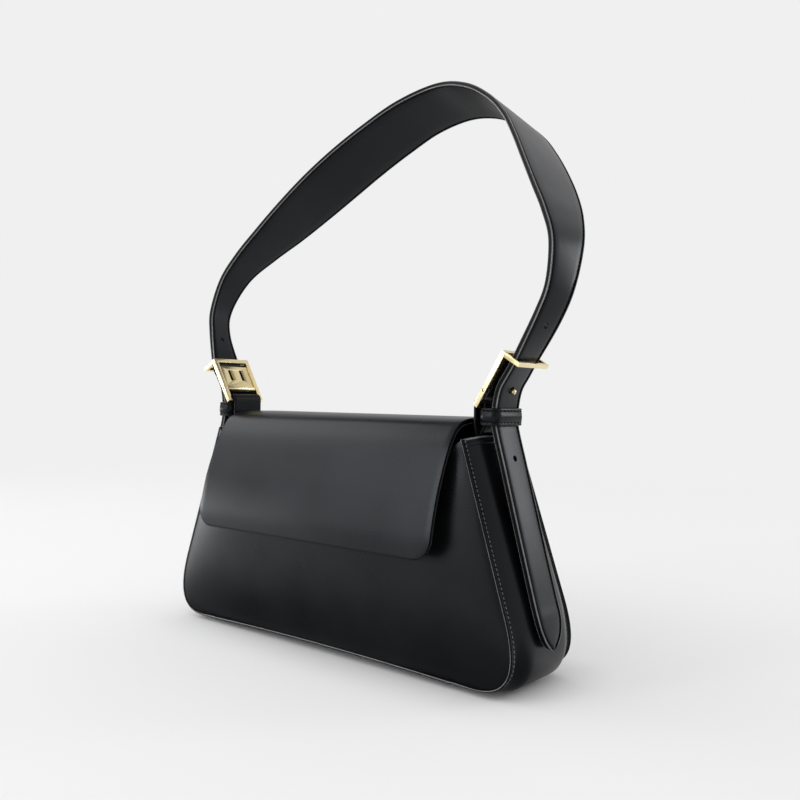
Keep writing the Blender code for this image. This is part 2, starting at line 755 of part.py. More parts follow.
def make_pin(name, side, collection):
    pin = rod(name, PIN_DIAMETER, FRAME_WIDTH - 2 * GAP, PALE_GOLD, collection)
    at = frame_point(PLATE_START + BARREL_DIAMETER / 2, 0)
    place(pin, Vector((side * at.x, HARDWARE_SETBACK, at.y)), (0, 1, 0))
    return pin


def make_stud(name, side, collection):
    """A turned stud: flange, neck and ball."""
    ball = STUD_BALL / 2
    start = PLATE_THICKNESS / 2 + GAP
    profile = [(0, STUD_REACH + ball)]
    meet = math.asin(STUD_NECK / STUD_BALL)
    for k in range(1, BALL_STEPS + 1):
        turn = (math.pi - meet) * k / BALL_STEPS
        profile.append((ball * math.sin(turn), STUD_REACH + ball * math.cos(turn)))
    profile += [(STUD_NECK / 2, start + STUD_FLANGE_THICKNESS),
                (STUD_FLANGE / 2, start + STUD_FLANGE_THICKNESS), (STUD_FLANGE / 2, start),
                (0, start)]
    mesh = bpy.data.meshes.new(name)
    edges = [(i, i + 1) for i in range(len(profile) - 1)]
    mesh.from_pydata([(x, 0, z) for x, z in profile], edges, [])
    stud = add_object(name, mesh, PALE_GOLD, collection)
    screw = stud.modifiers.new("turn", "SCREW")
    screw.steps = ROUND_STEPS
    screw.render_steps = ROUND_STEPS
    screw.use_merge_vertices = True
    screw.merge_threshold = GAP / 10
    screw.use_smooth_shade = True
    at = frame_point(STUD_HEIGHT, 0)
    place(stud, Vector((side * at.x, HARDWARE_SETBACK, at.y)),
          (side * OFF_LEG.x, 0, OFF_LEG.y))
    return stud


# Tabs and keepers

def make_tab(name, side, collection):
    """A leather tab folded over the heel bar; both its layers are sewn below the mouth."""
    turn = tab_turn()
    step = (TAB_LEATHER + GAP) / 2
    foot = MOUTH_HEIGHT - TAB_ROOT
    neck = MOUTH_HEIGHT + SIDE_BULGE * math.sin(SIDE_LEAN)
    knee = HEEL.y - KEEPER_DROP - KEEPER_HEIGHT

    def root(height, layer):
        return (beside_outline(height, TAB_OUT + layer * step), height)
    inner = [root(foot, -1), root((foot + MOUTH_HEIGHT) / 2, -1), root(MOUTH_HEIGHT, -1)]
    outer = [root(foot, 1), root((foot + MOUTH_HEIGHT) / 2, 1), root(MOUTH_HEIGHT, 1)]
    inner.append(root(neck, -1))
    outer.append(root(neck, 1))
    rise = inner + [(HEEL.x - turn, knee), (HEEL.x - turn, (knee + HEEL.y) / 2)]
    arc = []
    for k in range(FOLD_STEPS + 1):
        angle = math.pi * (1 - k / FOLD_STEPS)
        arc.append((HEEL.x + turn * math.cos(angle), HEEL.y + turn * math.sin(angle)))
    fall = [(HEEL.x + turn, (knee + HEEL.y) / 2), (HEEL.x + turn, knee)] + outer[::-1]
    rows = []
    for x, z in rise + arc + fall:
        rows.append([Vector((side * x, HARDWARE_SETBACK - TAB_WIDTH / 2, z)),
                     Vector((side * x, HARDWARE_SETBACK + TAB_WIDTH / 2, z))])
    return sheet(name, rows, TAB_LEATHER, BLACK_LEATHER, collection)


def tab_turn():
    return FRAME_WIRE * math.sqrt(0.5) + GAP + TAB_LEATHER / 2


def keeper_span():
    """The keeper's inside, from inside the tab's fold to outside the strap."""
    inner = HEEL.x + tab_turn() - TAB_LEATHER / 2 - GAP
    outer = HEEL.x + STRAP_STANDOFF + PLY + PLY_GAP / 2 + KEEPER_SLACK
    return inner, outer


def make_keeper(name, side, collection):
    inner, outer = keeper_span()
    depth = STRAP_END_WIDTH + 2 * KEEPER_SLACK
    length = outer - inner
    keeper = ring(name, depth + 2 * KEEPER_WALL, length + KEEPER_WALL, KEEPER_WALL,
                  KEEPER_HEIGHT, BLACK_LEATHER, collection)
    height = HEEL.y - KEEPER_DROP - KEEPER_HEIGHT / 2
    first = Vector((0, side, 0))
    second = Vector((side, 0, 0))
    basis = Matrix((first, second, first.cross(second))).transposed().to_4x4()
    corner = Vector((side * (inner - KEEPER_WALL / 2), HARDWARE_SETBACK, height))
    keeper.matrix_world = Matrix.Translation(corner) @ basis
    bevel(keeper, KEEPER_WALL / 4)
    return keeper


# Strap

def strap_stations():
    """The right half from the tail's tip to the crown: X, Y, Z, half width, tilt."""
    y = HARDWARE_SETBACK
    thick = (PLY + PLY_GAP / 2) / math.cos(SIDE_LEAN)
    half = STRAP_END_WIDTH / 2
    at_keeper = HEEL.x + STRAP_STANDOFF
    knee = HEEL.y - KEEPER_DROP - KEEPER_HEIGHT

    def beside(height):
        return outer_side(height, y) + thick + TAIL_CLEARANCE
    stations = []
    low = CORNER_HEIGHT + EDGE_LIFT
    for share, width in POINT_SHARES:
        height = TAIL_TIP + TAIL_POINT * share
        stations.append((beside(height), y, height, half * width, 0))
    stations.append((beside(low), y, low, half, 0))
    for share in (0.25, 0.5, 0.75):
        height = low + (knee - low) * share
        x = beside(low) + (at_keeper - beside(low)) * share
        stations.append((x, y, height, half, 0))
    stations.append((at_keeper, y, knee - GAP, half, 0))
    stations.append((at_keeper, y, HEEL.y - KEEPER_DROP, half, 0))
    for along in (STUD_HEIGHT, (STUD_HEIGHT + FRAME_LENGTH) / 2, FRAME_LENGTH):
        point = frame_point(along, STRAP_IN_LOOP)
        stations.append((point.x, y, point.y, half, 0))
    bar = frame_point(FRAME_LENGTH, STRAP_IN_LOOP)
    span = bar.x + STRAP_SPREAD
    for x, rise, lean, width, tilt in STRAP_SHARES:
        stations.append((span * x, y + STRAP_LEAN * lean, bar.y + STRAP_RISE * rise,
                         STRAP_WIDTH / 2 * width, math.radians(tilt)))
    return stations


def strap_frames():
    """Centre, across direction, outward direction and half width all along the strap."""
    half = strap_stations()
    mirrored = [(-x, y, z, w, tilt) for x, y, z, w, tilt in reversed(half[:-1])]
    stations = smooth_path(half + mirrored, 2)
    out = []
    for i, (x, y, z, width, tilt) in enumerate(stations):
        before = stations[max(i - 1, 0)]
        after = stations[min(i + 1, len(stations) - 1)]
        along = Vector((after[0] - before[0], 0, after[2] - before[2])).normalized()
        plain = Vector((along.z, 0, -along.x))
        across = Vector((0, 1, 0)) * math.cos(tilt) + plain * math.sin(tilt)
        run = Vector((after[0] - before[0], after[1] - before[1], after[2] - before[2]))
        outward = across.cross(run.normalized()).normalized()
        if outward.dot(plain) < 0:
            outward = -outward
        out.append((Vector((x, y, z)), across, outward, width))
    return out


def strap_rows(offset):
    rows = []
    for centre, across, outward, half in strap_frames():
        rows.append([centre + across * (half * (2 * k / STRAP_COLUMNS - 1)) + outward * offset
                     for k in range(STRAP_COLUMNS + 1)])
    return rows


def hole_places(side):
    """The stud's hole and one above and one below it along the strap."""
    frames = strap_frames()
    target = frame_point(STUD_HEIGHT, STRAP_IN_LOOP)
    middle = len(frames) // 2
    runs = [0.0]
    for a, b in zip(frames[:middle], frames[1:middle]):
        runs.append(runs[-1] + (b[0] - a[0]).length)
    nearest = min(range(middle), key=lambda i: (frames[i][0].x - target.x) ** 2
                  + (frames[i][0].z - target.y) ** 2)
    places = []
    for run in (runs[nearest] - HOLE_PITCH, runs[nearest], runs[nearest] + HOLE_PITCH):
        for i in range(middle - 1):
            if runs[i] <= run < runs[i + 1]:
                share = (run - runs[i]) / (runs[i + 1] - runs[i])
                centre = frames[i][0].lerp(frames[i + 1][0], share)
                outward = frames[i][2].lerp(frames[i + 1][2], share)
                places.append((Vector((side * centre.x, centre.y, centre.z)),
                               Vector((side * outward.x, outward.y, outward.z))))
    return places


def make_strap(collection, cutters):
    plies = [
        sheet("strap_leather", strap_rows((PLY + PLY_GAP) / 2), PLY, BLACK_LEATHER, collection),
        sheet("strap_lining", strap_rows(-(PLY + PLY_GAP) / 2), PLY, BLACK_LEATHER, collection),
    ]
    for word, side in SIDES.items():
        for k, (centre, outward) in enumerate(hole_places(side)):
            punch = rod("%s_hole_%d" % (word, k), HOLE_DIAMETER, 2 * CUT_OVERRUN, None, cutters)
            place(punch, centre, outward)
            for ply in plies:
                cut(ply, punch)
    return plies


def make_bag(collection):
    make_front_panel(collection)
    make_back_panel(collection)
    for word, side in SIDES.items():
        make_gusset(word + "_gusset", side, collection)
        make_gusset_lining(word + "_gusset_lining", side, collection)
    make_base("base_panel", LEATHER + GAP, LEATHER / 2, EDGE_LIFT, LEATHER, BLACK_LEATHER,
              collection)
    make_base("base_lining", LINING_INSET + LINING + GAP, LEATHER + GAP + LINING / 2,
              LINING_BULGE, LINING, BLACK_LINING, collection)
    make_base_board(collection)
    make_binding("front_edge_binding", -1, collection)
    make_binding("back_edge_binding", 1, collection)
    make_panel_lining("front_lining", -1, FRONT_HEIGHT, FRONT_BULGE, FRONT_HEIGHT, collection)
    make_panel_lining("back_lining", 1, MOUTH_HEIGHT, BACK_BULGE, HINGE_HEIGHT, collection)
    make_pocket(collection)
    make_front_magnet(collection)


def make_hardware(collection, cutters):
    for word, side in SIDES.items():
        make_tab(word + "_tab", side, collection)
        make_keeper(word + "_keeper", side, collection)
        make_frame(word + "_buckle_frame", side, collection, cutters)
        make_stud_plate(word + "_stud_plate", side, collection, cutters)
        make_pin(word + "_plate_pin", side, collection)
        make_stud(word + "_ball_stud", side, collection)


def main():
    clear_scene()
    collection = make_collection("shoulder_bag")
    cutters = make_collection("cutters")
    make_bag(collection)
    make_flap(collection, cutters)
    make_hardware(collection, cutters)
    make_strap(collection, cutters)


main()
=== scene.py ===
import json
import random
from bisect import bisect_left
from math import asin, atan, copysign, cos, dist, exp, pi, radians, sin, sqrt, tau

import bmesh
import bpy
from mathutils import Matrix, Vector

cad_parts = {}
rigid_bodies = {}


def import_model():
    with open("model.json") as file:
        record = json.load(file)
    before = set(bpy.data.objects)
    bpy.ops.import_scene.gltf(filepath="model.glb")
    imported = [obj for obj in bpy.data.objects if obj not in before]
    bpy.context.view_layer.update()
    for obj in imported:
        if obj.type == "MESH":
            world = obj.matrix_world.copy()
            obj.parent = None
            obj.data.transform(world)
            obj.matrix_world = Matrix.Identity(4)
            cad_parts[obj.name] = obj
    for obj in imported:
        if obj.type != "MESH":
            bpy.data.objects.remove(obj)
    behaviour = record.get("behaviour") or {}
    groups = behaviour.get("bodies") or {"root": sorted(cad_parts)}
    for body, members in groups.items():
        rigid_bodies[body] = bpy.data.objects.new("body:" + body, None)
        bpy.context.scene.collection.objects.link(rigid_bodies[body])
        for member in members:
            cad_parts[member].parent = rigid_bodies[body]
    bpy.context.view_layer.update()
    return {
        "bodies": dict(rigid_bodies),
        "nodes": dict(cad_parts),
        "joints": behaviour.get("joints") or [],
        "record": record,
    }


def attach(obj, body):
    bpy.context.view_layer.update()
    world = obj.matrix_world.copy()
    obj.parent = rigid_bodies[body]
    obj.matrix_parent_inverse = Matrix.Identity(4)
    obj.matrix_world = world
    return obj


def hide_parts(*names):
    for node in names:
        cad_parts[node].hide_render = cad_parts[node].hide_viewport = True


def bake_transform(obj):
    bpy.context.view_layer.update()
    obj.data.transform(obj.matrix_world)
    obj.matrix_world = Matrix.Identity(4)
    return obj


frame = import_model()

# Bag body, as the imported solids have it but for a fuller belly
BASE_LENGTH = 0.294
MOUTH_LENGTH = 0.2054
MOUTH_HEIGHT = 0.1355
BASE_DEPTH = 0.0648
MOUTH_DEPTH = 0.0594
EDGE_LIFT = 0.0045
EDGE_ARCH = 0.0020
CORNER_HEIGHT = 0.0444
CORNER_RUN = 0.0315
CORNER_SHARES = (0.60, 0.76)
FRONT_DIP = 0.0075
DIP_POWER = 12
FRONT_BULGE = 0.008
BACK_BULGE = 0.004
SHOULDER_SHARE = 0.65
BASE_TURN_SHARE = 0.35
SIDE_BULGE = 0.0065
SEAM_MARGIN = 0.0042
JOINT_SETBACK = 0.0125
LEATHER = 0.0014
LINING = 0.0008
GAP = 0.0003
MAGNET_THICKNESS = 0.0012
LINING_DROP = 0.0025
POCKET_LENGTH = 0.120
POCKET_DEPTH = 0.063
POCKET_DROP = 0.0275
POCKET_SLACK = 0.0016
POCKET_MARGIN = 0.0015       # of its seams
MOUTH_SEAM_DROP = 0.0026
# Rims along the gussets' tops: name, finish, out from the leather, up, half sizes
GUSSET_RIMS = (
    # The piping takes the rim finish, whose grey base colour is a painted highlight
    ("piping", "rim", 0.0005, 0.0001, 0.0006, 0.0006),
    ("fold", "strap", 0.0005, -0.0026, 0.0009, 0.0014),
)

# Flap
FLAP_SIDE_STEP = 0.0050
HINGE_RISE = 0.0080
HINGE_GAP = 0.0006
FLAP_CROWN = 0.0041
FLAP_DROP = 0.0646
FLAP_STANDOFF = 0.0207
FLAP_CORNER = 0.012
FLAP_SKIN = 0.0012
FLAP_BOARD = 0.0015          # board and its gaps, under the leather
FLAP_LINING = 0.0007
LAP = 0.0115                 # how far the flap's leather runs down the back
LAP_RISE = 0.0009            # its surface above the back panel's
LAP_SEAM_RISE = 0.0028
LAP_SEAM_INSET = 0.0030

# Buckles
HARDWARE_SETBACK = -0.0052
HEEL_RISE = 0.0198
HEEL_STANDOUT = 0.0011
FRAME_LEAN = radians(31.5)
FRAME_WIRE = 0.0030
FRAME_WIDTH = 0.0310
FRAME_LENGTH = 0.0320
LOOP_STEP = 0.0110
LOOP_WALL = 0.0018
LOOP_HEIGHT = 0.0026
LOOP_INSET = 0.0002
FRAME_ROUNDING = 0.00038
DOT_DIAMETER = 0.0013        # the marks on the outer bar's ends
DOT_DEPTH = 0.0012
BORE_ALLOWANCE = 0.004       # cutters reach past what they cut
PLATE_START = 0.0072
PLATE_END = 0.0275
PLATE_THICKNESS = 0.0012
PLATE_ROUNDING = 0.00022
SLOT_WIDTH = 0.0022
SLOT_LENGTH = 0.0090
SLOT_SPREAD = 0.0100
PIN_DIAMETER = 0.0016
PIN_PLAY = 0.0003
BARREL_DIAMETER = 0.0036
PIN_AT = PLATE_START + BARREL_DIAMETER / 2
STUD_HEIGHT = 0.0134
STUD_NECK = 0.0018
STUD_BALL = 0.0034
STUD_REACH = 0.0084
STUD_FLANGE = 0.0044
STUD_FLANGE_THICKNESS = 0.0007

# Tabs, keepers and strap
TAB_WIDTH = 0.0205
TAB_SHOWN = 0.0240           # above the mouth, where it fills the buckle
TAB_LEATHER = 0.0015
TAB_ROOT = 0.020
TAB_GROWTH_START = 0.001     # above the mouth, where it starts to fill the buckle
TAB_GROWTH_RUN = 0.005
KEEPER_WALL = 0.0017
KEEPER_HEIGHT = 0.0097
KEEPER_DROP = 0.0021
KEEPER_SLACK = 0.0004
KEEPER_CORNER = 0.0026
STRAP_HALF = 0.0014          # from between its plies to its face
STRAP_END_WIDTH = 0.0234
STRAP_WIDTH = 0.0580
STRAP_SPREAD = 0.0169
STRAP_RISE = 0.1965
STRAP_LEAN = 0.1040
STRAP_STANDOFF = 0.0094
STRAP_IN_LOOP = 0.0055
TAIL_TIP = 0.0255
TAIL_POINT = 0.018
TAIL_CLEARANCE = 0.0006
TAIL_SPRING = 0.0018         # how far the free tip stands off
SPRING_POWER = 1.6
HOLE_DIAMETER = 0.0036
HOLE_PITCH = 0.040
PUNCH_LENGTH = 0.008
STRAP_STEPS = (0.0005, 0.001, 0.0024)    # between rings: at the tip, in the point, further on
STRAP_SHARES = (
    (0.967, 0.123, 0.033, 0.362, 12.0), (1.000, 0.214, 0.076, 0.386, 12.5),
    (0.981, 0.337, 0.178, 0.518, 8.0), (0.916, 0.432, 0.296, 0.697, 4.5),
    (0.830, 0.522, 0.419, 0.852, 2.0), (0.731, 0.620, 0.543, 0.952, -0.5),
    (0.626, 0.718, 0.665, 0.997, -3.0), (0.517, 0.807, 0.776, 0.993, -5.0),
    (0.381, 0.890, 0.874, 0.952, -7.5), (0.202, 0.965, 0.950, 0.890, -10.4),
    (0.000, 1.000, 1.000, 0.831, -14.0),
)
FLAP_PROFILE_SHARES = (
    (0.001, 0.970), (0.018, 0.986), (0.055, 0.995), (0.143, 0.999), (0.368, 1.000), (0.519, 0.997),
    (0.619, 0.978), (0.698, 0.930), (0.757, 0.855), (0.807, 0.764), (0.863, 0.627),
    (0.932, 0.419), (0.986, 0.171), (1.000, 0.000),
)
POINT_SHARES = (
    (0.0, 0.02), (0.012, 0.10), (0.03, 0.20), (0.08, 0.34), (0.20, 0.56), (0.42, 0.78),
    (0.70, 0.94), (1.0, 1.0),
)

# Thread
PITCH = 0.0025
KEEPER_PITCH = 0.0033
STITCH = 0.0019
THREAD = 0.00056
STITCH_INSET = 0.0016        # from the edges of strap and keepers

SIDES = {"right": 1, "left": -1}
ANY = 1e9

SIDE_SLOPE = (BASE_LENGTH - MOUTH_LENGTH) / 2 / (MOUTH_HEIGHT - EDGE_LIFT)
SIDE_LEAN = atan(SIDE_SLOPE)
CORNER_END = BASE_LENGTH / 2 - CORNER_RUN
JOINT_REACH = CORNER_END - JOINT_SETBACK
FRONT_HEIGHT = MOUTH_HEIGHT - FRONT_DIP
HINGE_HEIGHT = MOUTH_HEIGHT + HINGE_RISE
FLAP_LENGTH = MOUTH_LENGTH - 2 * FLAP_SIDE_STEP
FLAP_TOP = HINGE_HEIGHT + FLAP_CROWN
FLAP_BOTTOM = MOUTH_HEIGHT - FLAP_DROP
FLAP_REACH = MOUTH_DEPTH / 2 + FLAP_STANDOFF


# Hand tools

def lay_down():
    """Leaves edit mode and lets go of everything."""
    if bpy.context.object and bpy.context.object.mode != "OBJECT":
        bpy.ops.object.mode_set(mode="OBJECT")
    bpy.ops.object.select_all(action="DESELECT")


def take(piece):
    lay_down()
    piece.select_set(True)
    bpy.context.view_layer.objects.active = piece
    return piece


def open_up(piece):
    """Enters edit mode with all of a piece selected."""
    take(piece)
    bpy.ops.object.mode_set(mode="EDIT")
    bpy.ops.mesh.select_mode(type="FACE")
    bpy.ops.mesh.select_all(action="SELECT")


def face_out(piece):
    open_up(piece)
    bpy.ops.mesh.normals_make_consistent(inside=False)
    lay_down()
    return piece


def name_new(name):
    piece = bpy.context.object
    piece.name = name
    piece.data.name = name
    return piece


def put_in(name, data):
    """A new object for a mesh, a lamp or a camera."""
    item = bpy.data.objects.new(name, data)
    bpy.context.scene.collection.objects.link(item)
    return item


def settle(piece):
    """Puts a piece's place into its mesh."""
    take(piece)
    bpy.ops.object.transform_apply(location=True, rotation=True, scale=True)
    return piece


def block(name, size, at):
    lay_down()
    bpy.ops.mesh.primitive_cube_add(size=1, location=at, scale=size)
    return settle(name_new(name))


def rod_across(name, diameter, length, y, z, sides=24):
    """A cylinder along X, set down at a Y and a Z."""
    lay_down()
    bpy.ops.mesh.primitive_cylinder_add(vertices=sides, radius=diameter / 2, depth=length,
                                        location=(0, y, z), rotation=(0, pi / 2, 0))
    return settle(name_new(name))


def pick(piece, test):
    """Selects the faces whose middle and normal pass a test, in edit mode."""
    open_up(piece)
    bpy.ops.mesh.select_all(action="DESELECT")
    bm = bmesh.from_edit_mesh(piece.data)
    for face in bm.faces:
        face.select_set(test(face.calc_center_median(), face.normal))
    bmesh.update_edit_mesh(piece.data)


def work(piece, kind, **settings):
    """Adds a modifier and applies it."""
    take(piece)
    modifier = piece.modifiers.new(kind.lower(), kind)
    for key, value in settings.items():
        setattr(modifier, key, value)
    bpy.ops.object.modifier_apply(modifier=modifier.name)
    return piece


def round_edges(piece, width, segments=3, angle=radians(35)):
    return work(piece, "BEVEL", width=width, segments=segments, limit_method="ANGLE",
                angle_limit=angle)


def carve(piece, cutter, operation="DIFFERENCE"):
    """Cuts a piece with another, or joins them, and throws the other away."""
    work(piece, "BOOLEAN", object=cutter, operation=operation, solver="EXACT")
    throw_away(cutter)


def smooth(piece):
    take(piece)
    bpy.ops.object.shade_smooth_by_angle(angle=radians(35))
    return piece


def twin(piece, name, matrix):
    """A copy with its own mesh, set down by a matrix."""
    mesh = piece.data.copy()
    mesh.name = name
    mesh.transform(matrix)
    return put_in(name, mesh)


def throw_away(piece):
    bpy.data.objects.remove(piece, do_unlink=True)


def turned(name, profile, sides=28):
    """A turned piece along Z: a disc whose face is drawn up and resized from ring to ring."""
    lay_down()
    radius, height = profile[0]
    bpy.ops.mesh.primitive_circle_add(vertices=sides, radius=radius, location=(0, 0, height),
                                      fill_type="NGON")
    piece = settle(name_new(name))
    open_up(piece)
    for (old, low), (new, high) in zip(profile, profile[1:]):
        bpy.ops.mesh.extrude_region_move(TRANSFORM_OT_translate={"value": (0, 0, high - low)})
        bpy.ops.transform.resize(value=(new / old, new / old, 1), center_override=(0, 0, high))
    return face_out(piece)


def empty_slots(piece, count):
    """Without slots, modifiers would drop the faces' numbers."""
    for _ in range(count):
        piece.data.materials.append(None)


def runs_along(points, gap=lambda a, b: (b - a).length):
    """How far along a line each of its points lies."""
    runs = [0.0]
    for a, b in zip(points, points[1:]):
        runs.append(runs[-1] + gap(a, b))
    return runs


def find(runs, run):
    """Which stretch of a line a run falls in, and its share of that stretch."""
    i = min(max(bisect_left(runs, run) - 1, 0), len(runs) - 2)
    return i, (run - runs[i]) / max(runs[i + 1] - runs[i], 1e-9)


def around(line, i):
    """What stands before and after an item of a line, or itself at an end."""
    return line[max(i - 1, 0)], line[min(i + 1, len(line) - 1)]


def clamp(share):
    return min(max(share, 0), 1)


def loft(name, rows, bands=None):
    """A grid whose points are pulled into rows; its UV map is in metres over the surface."""
    lay_down()
    across = len(rows[0]) - 1
    bpy.ops.mesh.primitive_grid_add(x_subdivisions=across, y_subdivisions=len(rows) - 1, size=1)
    piece = name_new(name)
    mesh = piece.data
    mesh.vertices.foreach_set("co", [c for row in rows for point in row for c in point])
    middle = across // 2
    down = runs_along([row[middle] for row in rows])
    spans = [runs_along(row) for row in rows]
    uv = mesh.uv_layers[0].data
    for loop in mesh.loops:
        line, column = divmod(loop.vertex_index, across + 1)
        uv[loop.index].uv = (spans[line][column] - spans[line][middle], down[line])
    if bands:
        empty_slots(piece, max(bands) + 1)
        for face in mesh.polygons:
            face.material_index = bands[face.index % across]
    return piece


def merge(piece):
    """Joins the edges that meet, and closes the ends."""
    open_up(piece)
    bpy.ops.mesh.remove_doubles(threshold=1e-6)
    bpy.ops.mesh.fill_holes(sides=0)
    return face_out(piece)


def tube(name, rings, bands=None, endless=False):
    """A closed skin through rings of points."""
    rows = [ring + ring[:1] for ring in rings]
    if endless:
        rows.append(rows[0])
    return merge(loft(name, rows, bands))


def sheet(name, rows, thickness, rim=0, edge=0.3):
    """A sheet of even thickness on both sides of its rows, with rounded edges."""
    piece = loft(name, rows)
    if rim:
        empty_slots(piece, rim + 1)
    face_out(piece)
    work(piece, "SOLIDIFY", thickness=thickness, offset=0, use_even_offset=True,
         material_offset_rim=rim)
    round_edges(piece, thickness * edge, angle=radians(50))
    if rim:
        paint_edges(piece, thickness * 0.75, rim)
    return piece


def paint_edges(piece, width, number):
    """Gives the narrow faces of rounded edges the cut edge's number too."""
    mesh = piece.data
    for face in mesh.polygons:
        corners = [mesh.vertices[v].co for v in face.vertices]
        longest = max((b - a).length for a, b in zip(corners, corners[1:] + corners[:1]))
        if face.area < longest * width:
            face.material_index = number


# Materials

class Value:
    """A socket's output that can stand in a sum."""

    def __init__(self, finish, socket):
        self.finish = finish
        self.socket = socket

    def __add__(self, other):
        return self.finish.math("ADD", self, other)

    def __radd__(self, other):
        return self.finish.math("ADD", other, self)

    def __sub__(self, other):
        return self.finish.math("SUBTRACT", self, other)

    def __rsub__(self, other):
        return self.finish.math("SUBTRACT", other, self)

    def __mul__(self, other):
        return self.finish.math("MULTIPLY", self, other)

    def __rmul__(self, other):
        return self.finish.math("MULTIPLY", other, self)

    def __truediv__(self, other):
        return self.finish.math("DIVIDE", self, other)


class Finish:
    """A material, or the world, whose pattern is drawn by nodes."""

    def __init__(self, name, owner=None, **constants):
        self.material = owner or bpy.data.materials.new(name)
        self.material.use_nodes = True
        self.nodes = self.material.node_tree.nodes
        self.links = self.material.node_tree.links
        self.shader = self.nodes["Background" if owner else "Principled BSDF"]
        for socket, value in constants.items():
            self.shader.inputs[socket.replace("_", " ")].default_value = value

    def node(self, kind, settings=None, inputs=None, output=0):
        node = self.nodes.new("ShaderNode" + kind)
        for key, value in (settings or {}).items():
            if key == "stops":
                self.set_stops(node.color_ramp, value)
            else:
                setattr(node, key, value)
        for key, value in (inputs or {}).items():
            self.feed(node.inputs[key], value)
        return Value(self, node.outputs[output])

    def set_stops(self, ramp, stops):
        while len(ramp.elements) < len(stops):
            ramp.elements.new(1.0)
        for element, (position, colour) in zip(ramp.elements, stops):
            element.position = position
            element.color = colour if hasattr(colour, "__len__") else (colour, colour, colour, 1)

    def feed(self, socket, value):
        if isinstance(value, Value):
            self.links.new(value.socket, socket)
        else:
            socket.default_value = value

    def math(self, operation, *values, clamped=False):
        return self.node("Math", {"operation": operation, "use_clamp": clamped},
                         dict(enumerate(values)))

    def vector(self, operation, *values):
        output = 1 if operation in ("LENGTH", "DOT_PRODUCT") else 0
        return self.node("VectorMath", {"operation": operation}, dict(enumerate(values)), output)

    def parts(self, vector):
        """A vector's three numbers."""
        x = self.node("SeparateXYZ", None, {0: vector})
        return [Value(self, output) for output in x.socket.node.outputs]

    def place(self, kind="Object"):
        return self.node("TexCoord", output=kind)

    def noise(self, where, scale, detail=2.0, roughness=0.5):
        return self.node("TexNoise", None, {"Vector": where, "Scale": scale, "Detail": detail,
                                            "Roughness": roughness})

    def stretch(self, where, scale):
        return self.node("Mapping", None, {"Vector": where, "Scale": scale})

    def ramp(self, value, *stops):
        return self.node("ValToRGB", {"stops": stops}, {"Fac": value})

    def worn(self, start, end):
        """0 on flat faces, 1 on sharp edges."""
        pointed = self.node("NewGeometry", output="Pointiness")
        return self.ramp(pointed, (start, 0.0), (end, 1.0))

    def mix(self, share, a, b):
        return self.node("Mix", {"data_type": "RGBA"}, {0: share, 6: a, 7: b}, output=2)

    def bump(self, height, strength, distance, *normal):
        inputs = {"Height": height, "Strength": strength, "Distance": distance}
        inputs.update(zip(["Normal"], normal))
        return self.node("Bump", None, inputs)

    def light(self, kind, colour):
        return self.node(kind, None, {"Color": colour, "Strength": 1.0})

    def either(self, share, first, second):
        return self.node("MixShader", None, {0: share, 1: first, 2: second})

    def path(self, name):
        return self.node("LightPath", output=name)

    def seen_directly(self):
        """1 for what the camera, gloss and clear things see, 0 for soft light."""
        return self.math("ADD", self.path("Is Camera Ray") + self.path("Is Glossy Ray"),
                         self.path("Is Transmission Ray"), clamped=True)

    def set(self, socket, value):
        self.feed(self.shader.inputs[socket], value)

    def vary(self, socket, middle, *changes):
        """A number that noises move up and down by the given spreads."""
        for noise, spread in changes:
            middle = middle + (noise - 0.5) * spread
        self.set(socket, middle)

    def own(self):
        """What the shader itself gives."""
        return Value(self, self.shader.outputs[0])

    def show(self, output, shader):
        self.links.new(shader.socket, self.nodes[output].inputs["Surface"])


BLACK = (0.0020, 0.0022, 0.0026, 1)
INK = (0.0044, 0.0048, 0.0058, 1)
WORN_INK = (0.0308, 0.0336, 0.0406, 1)


def leather_finish(name, rough, sheen, coat):
    finish = Finish(name, Coat_Roughness=0.24, Specular_IOR_Level=sheen,
                    Specular_Tint=(0.86, 0.93, 1.0, 1))
    where = finish.place()
    broad = finish.noise(where, 22.0, 3.0)
    fine = finish.noise(where, 900.0, 4.0, 0.6)
    pores = finish.node("TexVoronoi", {"feature": "F1"}, {"Vector": where, "Scale": 1500.0})
    colour = finish.mix(finish.ramp(broad, (0.35, 0.0), (0.70, 1.0)), BLACK, INK)
    finish.set("Base Color", finish.mix(finish.worn(0.52, 0.60) * 0.35, colour, WORN_INK))
    finish.vary("Roughness", rough, (broad, 0.14), (fine, 0.10))
    finish.vary("Coat Weight", coat, (broad, 0.1))
    grained = finish.bump(fine + pores * 0.7, 0.05, 0.00016)
    finish.set("Normal", finish.bump(finish.noise(where, 34.0, 2.0), 0.12, 0.0011, grained))
    return finish.material


def grained_finish(name, grain, dark, light, gloss, relief=None, coat=None, steps=None,
                   stretch=None, **constants):
    """A finish whose colour, gloss and relief follow one noise: scale, detail, roughness."""
    finish = Finish(name, **constants)
    where = finish.place()
    noise = finish.noise(finish.stretch(where, stretch) if stretch else where, *grain)
    share = finish.ramp(noise, *steps) if steps else noise
    finish.set("Base Color", finish.mix(share, dark + (1,), light + (1,)))
    finish.vary("Roughness", gloss[0], (noise, gloss[1]))
    if coat:
        finish.vary("Coat Weight", coat[0], (noise, coat[1]))
    if relief:
        finish.set("Normal", finish.bump(noise, *relief))
    return finish.material


def thread_finish(name, dark, light):
    return grained_finish(name, (2600.0, 3.0), (dark,) * 3, (light,) * 3, (0.42, 0.3),
                          (0.5, 0.0001), stretch=(1.0, 1.0, 2.5), Specular_IOR_Level=0.2)


